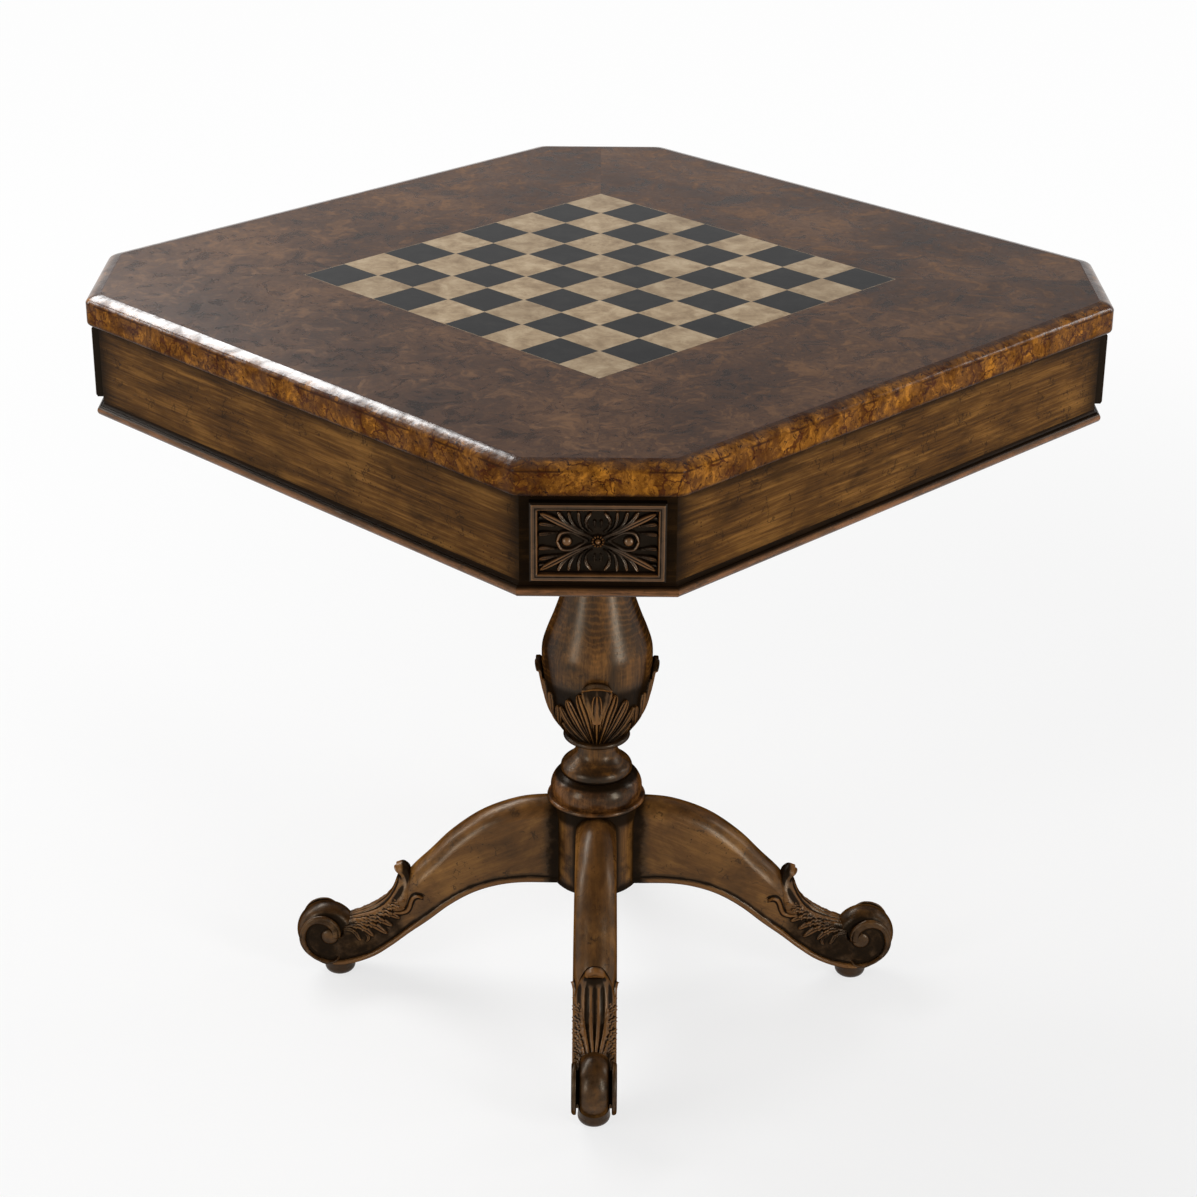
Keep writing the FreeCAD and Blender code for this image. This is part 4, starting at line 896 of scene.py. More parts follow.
def rosette_plate(columns=236, rows=150):
    """Moulded frame round the carved field: height over the rectangle, with walls down to the back.

    The frame is a flat band with an inner bead and an eased outer edge, by the distance from the edge.
    """
    half_height = (PLATE_HIGH - PLATE_LOW) / 2
    u = np.linspace(-PLATE_HALF_WIDTH, PLATE_HALF_WIDTH, columns)[None, :]
    v = np.linspace(-half_height, half_height, rows)[:, None]
    inset = np.minimum(PLATE_HALF_WIDTH - np.abs(u), half_height - np.abs(v))
    height = PLATE_FRONT - PLATE_BACK - PLATE_EASED[0] * (1.0 - smooth_step(inset, *PLATE_EASED[1:]))
    height = height - PLATE_STEP[0] * smooth_step(inset, *PLATE_STEP[1:])
    height = height + BEAD_RISE * half_round(np.abs(inset - PLATE_BAND + PLATE_BEAD), PLATE_BEAD)
    into_field = smooth_step(inset, PLATE_BAND - 0.2, PLATE_BAND + 0.8)
    relief = rosette_relief(u + 0.0 * v, v + 0.0 * u) * into_field
    height = height * (1.0 - into_field) + PLATE_FIELD * into_field + relief
    # Painted shade on the sunk ground, along the outer edge and in the line by the step, over a lighter glaze on the
    # frame's band
    share = ROSETTE_GLAZE_AND_SHADE
    glaze_and_shade = into_field * (1.0 - share["free"] * smooth_step(relief, *ROSETTE_HIGH))
    glaze_and_shade = glaze_and_shade + share["rim"] * (1.0 - smooth_step(inset, *ROSETTE_RIM)) + share["band"] * (1.0 - into_field)
    glaze_and_shade = np.clip(glaze_and_shade + share["line"] * ridge(inset, *ROSETTE_LINE), share["least"], 1.0)
    centre = (PLATE_HIGH + PLATE_LOW) / 2
    flat_u, flat_v = np.broadcast_to(u, height.shape), np.broadcast_to(v + centre, height.shape)
    height, glaze_and_shade = (np.pad(values, 1, constant_values=rim) for values, rim in ((height, 0.0), (glaze_and_shade, 1.0)))
    return np.stack((height, np.pad(flat_u, 1, mode="edge"), np.pad(flat_v, 1, mode="edge"), glaze_and_shade), axis=2)


# ---------------------------------------------------------------- finishes


def tone(red, green, blue):
    """Linear colour of a tone given in display values from 0 to 255."""
    share = np.array((red, green, blue)) / 255.0
    linear = np.where(share <= 0.04045, share / 12.92, ((share + 0.055) / 1.055) ** 2.4)
    return (*linear.tolist(), 1.0)


VARNISH = (1.0, 0.86, 0.66, 1.0)
CLEAR = (1.0, 1.0, 1.0, 1.0)
# Near-black brown of dark glaze, also laid as painted shade in hollows, joints and under overhangs
GLAZE_AND_SHADE = tone(19, 12, 6)
WALNUT = (tone(48, 28, 11), tone(92, 60, 28), tone(132, 92, 46))
APRON_WALNUT = (tone(38, 22, 8), tone(82, 53, 21), tone(126, 87, 40))
TURNED = (tone(24, 14, 6), tone(58, 36, 15), tone(106, 69, 30))
RED_WALNUT = (tone(36, 20, 9), tone(78, 48, 22), tone(120, 78, 40))
DARK_WALNUT = (tone(30, 18, 10), tone(60, 38, 21), tone(88, 58, 34))
# Width and drop of the edge's bevel and level of the moulding's round in millimetres, square's side in metres
EDGE_BEVEL = 13.0
EDGE_DROP = 7.0
MOULDING_ROUND = 4.5
SQUARE = 0.049
DIAGONAL = 1.0 / math.sqrt(2)


class Value:
    """Output of a shader node. A sum or product with it adds one more node."""

    def __init__(self, finish, socket):
        self.finish = finish
        self.socket = socket

    def __add__(self, other):
        return self.finish.math("ADD", self, other)

    def __sub__(self, other):
        return self.finish.math("SUBTRACT", self, other)

    def __rsub__(self, other):
        return self.finish.math("SUBTRACT", other, self)

    def __mul__(self, other):
        return self.finish.math("MULTIPLY", self, other)

    def output(self, name):
        """Another output of the same node."""
        return Value(self.finish, self.socket.node.outputs[name])


class Finish:
    """Node tree of one material, or of the world. Each method adds a node and gives back its output."""

    def __init__(self, name, kind="materials"):
        self.owner = getattr(bpy.data, kind).new(name)
        self.owner.use_nodes = True
        self.tree = self.owner.node_tree
        self.tree.nodes.clear()

    def add(self, kind, inputs, output=0, **settings):
        """Adds one shader node; an input is a number, a vector or the output of another node."""
        node = self.tree.nodes.new("ShaderNode" + kind)
        for key, value in settings.items():
            setattr(node, key, value)
        for key, value in dict(inputs).items():
            if isinstance(value, Value):
                self.tree.links.new(value.socket, node.inputs[key])
            else:
                node.inputs[key].default_value = value
        return Value(self, node.outputs[output] if len(node.outputs) else None)

    def math(self, operation, *values):
        """One sum on numbers."""
        return self.add("Math", enumerate(values), operation=operation)

    def most(self, *values):
        """Greatest of several numbers."""
        return functools.reduce(lambda first, second: self.math("MAXIMUM", first, second), values)

    def least(self, *values):
        """Least of several numbers."""
        return functools.reduce(lambda first, second: self.math("MINIMUM", first, second), values)

    def size(self, value):
        """A number without its sign."""
        return self.math("ABSOLUTE", value)

    def vector(self, operation, *values):
        """One sum on vectors; a length comes as a number."""
        output = "Value" if operation == "LENGTH" else "Vector"
        return self.add("VectorMath", enumerate(values), output, operation=operation)

    def place(self):
        """Place in the table's frame, in metres."""
        return self.add("TexCoord", {}, "Object")

    def stored(self, name, output="Fac"):
        """Value that the carving keeps at each of its points."""
        return self.add("Attribute", {}, output, attribute_name=name)

    def axes(self, position):
        """The three coordinates of a place."""
        first = self.add("SeparateXYZ", {0: position})
        return [first.output(axis) for axis in range(3)]

    def turned(self, position, scale=(1, 1, 1), turn=(0, 0, 0), shift=(0, 0, 0)):
        """A place scaled, turned in degrees and shifted."""
        turn = [math.radians(value) for value in turn]
        return self.add("Mapping", {"Vector": position, "Location": shift, "Rotation": turn, "Scale": scale})

    def noise(self, position, scale, detail=4.0, rough=0.55, distortion=0.0, output=0):
        """Cloudy noise."""
        inputs = {"Vector": position, "Scale": scale, "Detail": detail, "Roughness": rough, "Distortion": distortion}
        return self.add("TexNoise", inputs, output)

    def streaks(self, position, scale, detail, rough=0.6, distortion=0.0):
        """Cloudy noise with a scale of its own along each axis."""
        return self.noise(self.turned(position, scale), 1.0, detail, rough, distortion)

    def cells(self, position, scale, feature="F1"):
        """Distance from the nearest of scattered points, or from the edge between two of them."""
        return self.add("TexVoronoi", {"Vector": position, "Scale": scale}, feature=feature)

    def bent(self, position, scale, amount):
        """A place moved by noise."""
        bend = self.vector("MULTIPLY", self.noise(position, scale, 3.0, 0.6, 0.0, 1), (amount,) * 3)
        return self.vector("ADD", position, bend)

    def band(self, value, low, high, start=0.0, end=1.0):
        """Soft step of a value between two limits."""
        inputs = {0: value, 1: low, 2: high, 3: start, 4: end}
        return self.add("MapRange", inputs, interpolation_type="SMOOTHSTEP")

    def step(self, value, low, high, start=0.0, end=1.0):
        """Soft step of a length between two limits in millimetres."""
        return self.band(value, low * MM, high * MM, start, end)

    def line_at(self, value, place, half):
        """1 at a place and 0 beyond its half width."""
        return self.band(self.size(value - place), half, half * 0.35)

    def blend(self, share, first, second, mode="MIX"):
        """Two colours mixed by a share."""
        return self.add("Mix", {0: share, 6: first, 7: second}, 2, data_type="RGBA", blend_type=mode)

    def ramp(self, value, *stops):
        """Colour looked up from a value by stops of (value, tone)."""
        found = self.add("ValToRGB", {0: value})
        points = found.socket.node.color_ramp.elements
        while len(points) < len(stops):
            points.new(0.5)
        for point, (at, shade) in zip(points, stops):
            point.position = at
            point.color = shade
        return found

    def figure(self, value, spread, dark, middle, light):
        """Colour from dark over middle to light, by a value that spreads about a half."""
        return self.ramp(value, (0.5 - spread, dark), (0.5, middle), (0.5 + spread, light))

    def eased(self, gloss):
        """A gloss that fades where the surface turns away from the eye, as under an old dulled polish."""
        facing = self.add("LayerWeight", {"Blend": 0.5}, "Facing")
        return self.band(facing, 0.24, 0.58, 1.0, 0.0) * gloss

    def close(self, colour, rough, height=None, depth=0.0004, specular=0.2, tint=VARNISH, metal=0.0):
        """Joins colour, gloss and fine relief to the surface of the material."""
        inputs = {
            "Base Color": colour, "Roughness": rough, "Specular IOR Level": specular, "Specular Tint": tint,
            "Metallic": metal,
        }
        if height is not None:
            inputs["Normal"] = self.add("Bump", {"Height": height, "Distance": depth, "Strength": 1.0})
        self.add("OutputMaterial", {"Surface": self.add("BsdfPrincipled", inputs)})
        return self.owner


def grain(finish, along, dark, middle, light, fine=0.45, stretch=1.0, spread=0.13):
    """Colour and relief of wood whose fibres run along the first coordinate, with soft clouds across them."""
    fibres = finish.streaks(along, (9 * stretch, 260, 260), 6.0, 0.65)
    threads = finish.streaks(along, (14 * stretch, 640, 640), 3.0)
    fibres = fibres * 0.62 + threads * 0.38
    clouds = finish.streaks(along, (7 * stretch, 24, 24), 6.0, 0.62, 0.6)
    pores = finish.band(finish.streaks(along, (70, 1200, 1200), 2.0, 0.5), 0.60, 0.72)
    colour = finish.figure(fibres * fine + clouds * (1.0 - fine), spread, dark, middle, light)
    return finish.blend(pores * 0.4, colour, dark), fibres * 0.5 - pores * 0.6


def distress(finish, colour, position, shade, amount=0.8):
    """Dark specks, pin holes and short bent cracks in clusters over a colour."""
    clusters = finish.band(finish.noise(position, 17.0, 2.0), 0.48, 0.62)
    holes = finish.band(finish.cells(position, 190.0), 0.19, 0.12) * clusters
    cracks = finish.cells(finish.bent(position, 60.0, 0.02), 96.0, "DISTANCE_TO_EDGE")
    picked = finish.band(finish.noise(position, 66.0, 2.0, 0.5), 0.57, 0.63)
    cracks = finish.band(cracks, 0.06, 0.02, 0.0, 0.8) * picked
    specks = finish.band(finish.noise(position, 420.0, 2.0, 0.6), 0.66, 0.74, 0.0, 0.8) * clusters
    return finish.blend(finish.most(holes, cracks, specks) * amount, colour, shade)


def burl(finish, position, dark, middle, light, size=1.0, contrast=1.0):
    """Burl: noise folded into itself, with broad clouds, curled lines and clusters of dark eyes."""
    fold = finish.vector("SUBTRACT", finish.noise(position, 15.0 * size, 3.0, 0.5, 0.0, 1), (0.5, 0.5, 0.5))
    folded = finish.vector("ADD", position, finish.vector("MULTIPLY", fold, (0.06 / size,) * 3))
    swirl = finish.noise(folded, 30.0 * size, 9.0, 0.66, 0.9)
    waves = finish.math("SINE", swirl * 44.0)
    clouds = finish.noise(position, 7.0 * size, 4.0, 0.55, 0.6)
    fleck = finish.noise(folded, 120.0 * size, 5.0, 0.7, 0.8)
    share = swirl * 0.45 + clouds * 0.30 + fleck * 0.25 + waves * (0.013 * contrast)
    colour = finish.figure(share, 0.15 / contrast, dark, middle, light)
    grouped = finish.band(finish.noise(position, 18.0 * size, 2.0), 0.46, 0.62)
    eyes = finish.band(finish.cells(folded, 60.0 * size), 0.30, 0.05) * grouped
    return finish.blend(eyes * 0.75, colour, dark), swirl


def inset_from_edge(finish, position):
    """Distance in metres from the nearest of the top's eight sides, seen from above."""
    x, y, _ = finish.axes(position)
    x, y = finish.size(x), finish.size(y)
    return finish.least(TOP_HALF * MM - finish.most(x, y), CANT_DISTANCE * MM - (x + y) * DIAGONAL)


def top_burl(name, turn, shift, gloss):
    """Dark burl veneer of one border sheet, with a painted shade line where it meets the bevel, and the satin sheen of
    an old polish.
    """
    finish = Finish(name)
    position = finish.place()
    cut = finish.turned(position, turn=(0, 0, turn), shift=shift)
    colour, relief = burl(finish, cut, tone(36, 20, 12), tone(72, 45, 26), tone(112, 78, 48), 1.3, 1.35)
    # Painted shade: a thin dark line along the quirk where the top meets the bevel
    line = finish.line_at(inset_from_edge(finish, position), EDGE_BEVEL * MM, 0.0014)
    colour = finish.blend(line, colour, tone(60, 28, 12))
    worn = finish.band(finish.noise(position, 30.0, 7.0, 0.75), 0.58, 0.72, 0.0, 0.3)
    colour = finish.blend(worn, colour, tone(126, 84, 56))
    rough = finish.band(relief, 0.3, 0.7, 0.25, 0.37)
    return finish.close(colour, rough, relief, 0.00006, gloss, CLEAR)


def edge_burl(name, gloss):
    """Golden burl of the edge lipping with dark lines and specks, painted shade along its lower edge and at its top
    arris, and a broken mirror polish on its bevel.
    """
    finish = Finish(name)
    position = finish.place()
    colour, _ = burl(finish, position, tone(50, 25, 7), tone(108, 66, 19), tone(172, 112, 36), 1.9, 1.3)
    patches = finish.band(finish.noise(position, 64.0, 5.0, 0.65), 0.44, 0.62, 0.0, 0.7)
    lines = finish.cells(finish.bent(position, 70.0, 0.018), 62.0, "DISTANCE_TO_EDGE")
    picked = finish.band(finish.noise(position, 36.0, 2.0, 0.5), 0.44, 0.54, 0.0, 0.8)
    specks = finish.band(finish.noise(position, 260.0, 4.0, 0.7, 0.6), 0.58, 0.64, 0.0, 0.9)
    level = finish.axes(position)[2]
    arris_level = TABLE_TOP - EDGE_DROP
    for share, shade in (
        (patches, tone(70, 38, 12)),
        (finish.band(lines, 0.07, 0.02) * picked, tone(58, 24, 8)),
        (specks, tone(26, 15, 8)),
        # Painted shade darkening the lowest millimetres of the lip, towards its underside
        (finish.step(level, TOP_UNDERSIDE + 6.0, TOP_UNDERSIDE + 0.5, 0.0, 0.9), tone(26, 14, 7)),
        # Painted shade: a thin dark line at the quirk along the top arris
        (finish.step(level, TABLE_TOP - 1.5, TABLE_TOP - 0.3, 0.0, 0.75), tone(44, 20, 8)),
        (finish.line_at(level, arris_level * MM, 0.0012) * picked, tone(46, 24, 10)),
    ):
        colour = finish.blend(share, colour, shade)
    bevel = finish.step(level, arris_level, TABLE_TOP - EDGE_DROP / 2, 0.06, gloss)
    broken = finish.band(finish.noise(position, 46.0, 4.0, 0.6), 0.36, 0.58, 0.3, 1.0)
    return finish.close(colour, 0.2, finish.noise(position, 60.0, 3.0, 0.5), 0.0004, bevel * broken, CLEAR)


def board_squares(name, dark, middle, light, stain, gloss):
    """Veneer of the playing board: cloudy, stained, with a tone of its own in each square."""
    finish = Finish(name)
    cell = finish.turned(finish.place(), (1 / SQUARE,) * 3, shift=(0, 0, 0.5))
    own = finish.add("TexWhiteNoise", {"Vector": finish.vector("FLOOR", cell)}, "Color", noise_dimensions="3D")
    moved = finish.vector("ADD", finish.place(), own)
    clouds = finish.noise(moved, 46.0, 8.0, 0.68, 0.4)
    colour = finish.figure(clouds, 0.16, dark, middle, light)
    stains = finish.band(finish.noise(moved, 130.0, 6.0, 0.75, 0.5), 0.55, 0.70, 0.0, 0.5)
    colour = finish.blend(stains, colour, stain)
    shade = finish.band(own.output("Value"), 0.0, 1.0, 0.84, 1.0)
    grey = finish.add("CombineColor", {0: shade, 1: shade, 2: shade})
    return finish.close(finish.blend(1.0, colour, grey, "MULTIPLY"), 0.3, clouds, 0.00005, gloss, CLEAR)


def frame_walnut(name, turn, shade_round_plate, gloss):
    """Brown wood of the apron and its moulding, with painted shade under the slab, along the moulding and towards the
    corners, patches of dark glaze, and painted shade over the whole of the cants round the plates.
    """
    finish = Finish(name)
    position = finish.place()
    along = finish.turned(position, turn=(0, 0, turn))
    colour, relief = grain(finish, along, *APRON_WALNUT, fine=0.62, stretch=1.4, spread=0.125)
    colour = distress(finish, colour, position, GLAZE_AND_SHADE, 0.75)
    x, y, level = finish.axes(position)
    # Painted shade under the slab, above the moulding and towards the corners, broken by cloudy glaze
    high = finish.step(level, TOP_UNDERSIDE - 15.0, TOP_UNDERSIDE - 1.0, 0.0, 0.96)
    low = finish.step(level, APRON_LOW + 20.0, APRON_LOW + 4.0, 0.0, 0.9)
    low = low * finish.step(level, APRON_LOW - 4.0, APRON_LOW + 1.0)
    x, y = finish.size(x), finish.size(y)
    ends = finish.step(finish.least(x, y), 250.0, 286.0, 0.0, 0.97) * finish.step(finish.most(x, y), 320.0, 330.0)
    cloud = finish.streaks(along, (16, 40, 40), 5.0, 0.62)
    laid_glaze_and_shade = finish.most(high, low, ends) * finish.band(cloud, 0.22, 0.55, 0.6, 1.0)
    glaze_and_shade = finish.most(laid_glaze_and_shade, finish.band(cloud, 0.52, 0.72, 0.0, 0.55), shade_round_plate)
    gloss = finish.band(glaze_and_shade, 0.2, 1.0, gloss * 0.14, gloss * 0.08)
    return finish.close(finish.blend(glaze_and_shade, colour, GLAZE_AND_SHADE), 0.36, relief, 0.00012, gloss)


def moulding_walnut(name, turn, gloss):
    """Moulding under the apron: painted shade against the apron and under its round, and a bright broken line along its
    round that is a painted highlight with rubbed wear.
    """
    finish = Finish(name)
    position = finish.place()
    along = finish.turned(position, turn=(0, 0, turn))
    colour, relief = grain(finish, along, *RED_WALNUT, fine=0.5, stretch=2.0, spread=0.14)
    colour = distress(finish, colour, position, GLAZE_AND_SHADE, 0.8)
    level = finish.axes(position)[2]
    # Painted highlight with rubbed wear: a bright broken line along the round
    broken = finish.band(finish.streaks(along, (28, 160, 160), 5.0, 0.7), 0.40, 0.6, 0.05, 1.0)
    highlight_and_rubbing = finish.line_at(level, (MOULDING_LOW + MOULDING_ROUND) * MM, 0.0026)
    colour = finish.blend(highlight_and_rubbing * broken, colour, tone(114, 73, 42))
    # Painted shade where the moulding meets the apron and under its round
    above = finish.step(level, MOULDING_LOW + 6.4, MOULDING_LOW + 8.4, 0.0, 0.95)
    below = finish.step(level, MOULDING_LOW + 1.6, MOULDING_LOW + 0.2, 0.0, 0.9)
    glaze_and_shade = finish.most(above, below)
    colour = finish.blend(glaze_and_shade, colour, GLAZE_AND_SHADE)
    return finish.close(colour, 0.26, relief, 0.0001, finish.band(glaze_and_shade, 0.0, 1.0, gloss, gloss * 0.1))


def carved_walnut(name, gloss, glaze_and_shade_depth, lean=-24.0, woods=WALNUT):
    """Carved wood: dark dull glaze with painted shade in the hollows and where the carving stores its shade, worn brown
    on the ridges, polished high points.
    """
    finish = Finish(name)
    wood_place = finish.turned(finish.stored("grain", "Vector"), turn=(0, lean, 0))
    colour, relief = grain(finish, wood_place, *woods, fine=0.34, stretch=2.0, spread=0.17)
    colour = distress(finish, colour, wood_place, GLAZE_AND_SHADE)
    # Painted shade with dark glaze: in the hollows as measured, and where the carving stores its shade
    depth, laid_glaze_and_shade = finish.stored("hollow"), finish.stored("shade")
    cloud = finish.noise(wood_place, 70.0, 4.0, 0.6) - 0.5
    glaze_and_shade = finish.band(depth + cloud * 0.12, 0.0, 0.26 * glaze_and_shade_depth)
    clouded = finish.band(laid_glaze_and_shade + cloud * 0.9, 0.12, 0.95) * finish.band(laid_glaze_and_shade, 0.0, 0.15)
    share = finish.most(glaze_and_shade, clouded) * 0.97
    colour = finish.blend(share, colour, GLAZE_AND_SHADE)
    worn = finish.band(depth, -0.06, -0.45 * glaze_and_shade_depth, 0.0, 0.6) * finish.band(laid_glaze_and_shade, 0.56, 0.3)
    colour = finish.blend(worn, colour, tone(118, 78, 40))
    gloss = finish.eased(finish.band(share, 0.55, 1.0, gloss, gloss * 0.2))
    return finish.close(colour, finish.band(share, 0.5, 1.0, 0.29, 0.38), relief, 0.0001, gloss)


def turned_walnut(name, gloss, curl, glaze_and_shade_levels, woods=TURNED, by_legs=False, rough=0.3):
    """Turned wood: upright fibres, curl across them, and dark glaze with painted shade round the given levels and by
    the legs.
    """
    finish = Finish(name)
    position = finish.place()
    colour, relief = grain(finish, finish.turned(position, turn=(0, 90, 0)), *woods, stretch=1.6)
    sway = finish.streaks(position, (18, 18, 5), 3.0)
    fine = finish.streaks(position, (60, 60, 30), 2.0, 0.5)
    x, y, level = finish.axes(position)
    wave = finish.math("SINE", level * 1050.0 + sway * 34.0 + fine * 9.0) * finish.band(sway, 0.38, 0.6)
    colour = finish.blend(finish.band(wave, 0.0, 1.0, 0.0, curl), colour, tone(136, 88, 38))
    colour = finish.blend(finish.band(wave, 0.0, -1.0, 0.0, curl), colour, tone(40, 22, 9))
    mottle = finish.band(finish.noise(position, 24.0, 5.0, 0.62), 0.46, 0.62, 0.0, 0.8)
    colour = distress(finish, finish.blend(mottle, colour, tone(28, 16, 8)), position, GLAZE_AND_SHADE, 0.5)
    # Painted shade with glaze in the joints, round the cup's leaves, under the collar and where the legs meet the hub
    laid_glaze_and_shade = [
        finish.step(level, low - soft, low) * finish.step(level, high + soft, high)
        for low, high, soft in glaze_and_shade_levels
    ]
    if by_legs:
        near = finish.least(finish.size((x + y) * DIAGONAL), finish.size((x - y) * DIAGONAL))
        laid_glaze_and_shade.append(finish.step(near, 29.0, 21.0))
    glaze_and_shade = finish.most(*laid_glaze_and_shade) * 0.94
    gloss = finish.eased(finish.band(glaze_and_shade, 0.5, 1.0, gloss, gloss * 0.2))
    return finish.close(finish.blend(glaze_and_shade, colour, GLAZE_AND_SHADE), rough, relief, 0.00008, gloss)


def plain_wood(name, turn, tones, rough=0.7, gloss=0.2):
    """Unfinished or stained wood without glaze."""
    finish = Finish(name)
    along = finish.turned(finish.place(), turn=(0, 0, turn))
    colour, relief = grain(finish, along, *(tone(*shade) for shade in tones))
    return finish.close(colour, rough, relief, 0.0002, gloss)


def zinc_steel(name):
    """Zinc-plated steel with a faint cloudy spangle."""
    finish = Finish(name)
    cloud = finish.noise(finish.place(), 90.0, 3.0)
    colour = finish.ramp(cloud, (0.35, tone(168, 170, 170)), (0.65, tone(196, 198, 196)))
    rough = finish.band(cloud, 0.3, 0.7, 0.32, 0.45)
    return finish.close(colour, rough, specular=0.5, tint=CLEAR, metal=1.0)


def dress(node, material):
    """Gives a CAD node its material in each of its slots."""
    piece = bpy.data.objects[node]
    if not piece.material_slots:
        piece.data.materials.append(material)
    for slot in piece.material_slots:
        slot.material = material


# ---------------------------------------------------------------- settings


class FinishSettings(bpy.types.PropertyGroup):
    """Gloss of the woods, and their glaze with painted shade."""

    edge_gloss: FloatProperty(
        name="Edge gloss", description="Mirror level of the polish on the edge", default=0.5, min=0.0, max=1.0,
    )
    gloss: FloatProperty(
        name="Gloss", description="Mirror level of the polish on the woods", default=0.28, min=0.0, max=1.0,
    )
    top_gloss: FloatProperty(
        name="Top gloss", description="Mirror level of the polish on the top", default=0.1, min=0.0, max=1.0,
    )
    # Depth of a hollow that takes full dark glaze with painted shade
    glaze_and_shade_depth: FloatProperty(
        name="Glaze depth", description="Depth of a hollow that holds full dark glaze, in parts of the usual",
        default=1.0, min=0.2, max=4.0,
    )
    curl: FloatProperty(
        name="Curl", description="Strength of the figure across the turned wood", default=0.2, min=0.0, max=1.0,
    )


class StageSettings(bpy.types.PropertyGroup):
    """Camera and light."""

    lens: FloatProperty(
        name="Lens", description="Focal length in millimetres", default=82.06, min=10.0, max=300.0,
    )
    distance: FloatProperty(
        name="Distance", description="From the camera to its aim", default=2.69576, unit="LENGTH",
    )
    azimuth: FloatProperty(
        name="Azimuth", description="Side from which the camera looks", default=math.radians(45.0), subtype="ANGLE",
    )
    elevation: FloatProperty(
        name="Elevation", description="Height angle of the camera", default=math.radians(24.607), subtype="ANGLE",
    )
    roll: FloatProperty(
        name="Roll", description="Turn of the camera about its view", default=math.radians(0.419), subtype="ANGLE",
    )
    aim: FloatVectorProperty(
        name="Aim", description="Point that the camera looks at", default=(0.000576, 0.000576, 0.43048),
        subtype="XYZ", unit="LENGTH",
    )
    ambient: FloatProperty(
        name="Soft light", description="Strength of the light from all round", default=0.27, min=0.0, max=2.0,
    )
    side_power: FloatProperty(
        name="Side lamps", description="Power of the upright soft box on the right in watts", default=31.0, min=0.0,
    )
    high_power: FloatProperty(
        name="High lamp", description="Power of the soft box above the left side in watts", default=71.0, min=0.0,
    )


# ---------------------------------------------------------------- operators

PALE_SQUARES = (tone(142, 118, 88), tone(172, 148, 116), tone(194, 172, 140), tone(120, 94, 64))
BLACK_SQUARES = (tone(12, 12, 13), tone(20, 20, 21), tone(32, 31, 30), tone(44, 40, 36))
FOOT_TONES = ((26, 16, 9), (46, 29, 16), (66, 42, 24))
INNER_TONES = ((150, 120, 82), (182, 152, 110), (204, 178, 138))
LENGTHWISE_NODES = ("top_core_panel", "mounting_block", "leg_dowels")
CROSSWISE_NODES = ("cross_rail_left", "cross_rail_right", "corner_blocks", "glue_blocks")
STEEL_NODES = (
    "steel_plate", "plate_screws", "block_screws", "rail_screws", "tie_rod", "tie_rod_nuts", "tie_rod_washers",
)
# Dark glaze with painted shade on the turnings, in their joints and round the cup: lowest and highest level of each
# band, and its soft edge
BALUSTER_GLAZE_AND_SHADE = (
    (240.0, 242.0, 2.0), (274.0, 276.5, 1.6), (290.0, 346.0, 18.0), (527.0, 530.0, 1.5), (539.0, 541.5, 2.0),
    (601.0, 603.5, 2.0),
)
COLLAR_GLAZE_AND_SHADE = ((205.0, 210.0, 2.0), (236.5, 240.0, 3.0))
HUB_GLAZE_AND_SHADE = ((196.0, 209.0, 10.0), (110.0, 121.0, 10.0))
# Shift of a border sheet's and of a leg's wood from one to the next
SHEET_SHIFT = (0.37, 0.21, 0.13)
LEG_WOOD_SHIFT = (190.0, 60.0, 0.0)
# Half width and grey of the floor, and the distances and shares over which it turns white to the camera
FLOOR_HALF = 14.0
FLOOR_GREY = (0.7, 0.7, 0.7, 1.0)
FLOOR_WHITE = (0.7, 2.6, 0.72, 0.98)
# Height of the direction where the backdrop starts and is full
BACKDROP = (0.36, 0.19)
# Upright soft boxes: name, place, size, and share of the side lamps' power
SIDE_LAMPS = (
    ("soft_box_left", (-0.12, -2.3, 0.9), (0.5, 1.25), 0.65),
    ("soft_box_right", (2.3, 0.12, 0.9), (0.5, 1.25), 1.0),
    ("soft_box_back_left", (-2.1, -1.25, 1.5), (0.4, 1.0), 0.45),
    ("soft_box_back_right", (1.25, 2.1, 1.5), (0.4, 1.0), 0.3),
)
HIGH_LAMP = ("soft_box_above", (-2.29, 0.12, 2.46), (2.1, 0.8))
LAMP_AIM = Vector((0.0, 0.0, 0.42))


class TABLE_OT_top(bpy.types.Operator):
    """Border veneers and edge lipping of the top"""

    bl_idname = "table.top"
    bl_label = "Top and edge"
    bl_options = {"REGISTER", "UNDO"}

    def execute(self, context):
        settings = context.scene.table_finish
        for step, side in enumerate(SIDES):
            shift = [value * step for value in SHEET_SHIFT]
            dress("border_veneer_" + side, top_burl("top_burl_" + side, 90.0 * step, shift, settings.top_gloss))
        lipping = edge_burl("edge_burl", settings.edge_gloss)
        for node in ["top_edge_long_" + side for side in SIDES] + ["top_edge_cant_" + corner for corner in CORNERS]:
            dress(node, lipping)
        return {"FINISHED"}


class TABLE_OT_board(bpy.types.Operator):
    """Light ground and dark squares of the playing board"""

    bl_idname = "table.board"
    bl_label = "Playing board"
    bl_options = {"REGISTER", "UNDO"}

    def execute(self, context):
        settings = context.scene.table_finish
        dress("board_light_ground", board_squares("board_light", *PALE_SQUARES, settings.top_gloss))
        dress("board_dark_squares", board_squares("board_dark", *BLACK_SQUARES, settings.top_gloss))
        return {"FINISHED"}


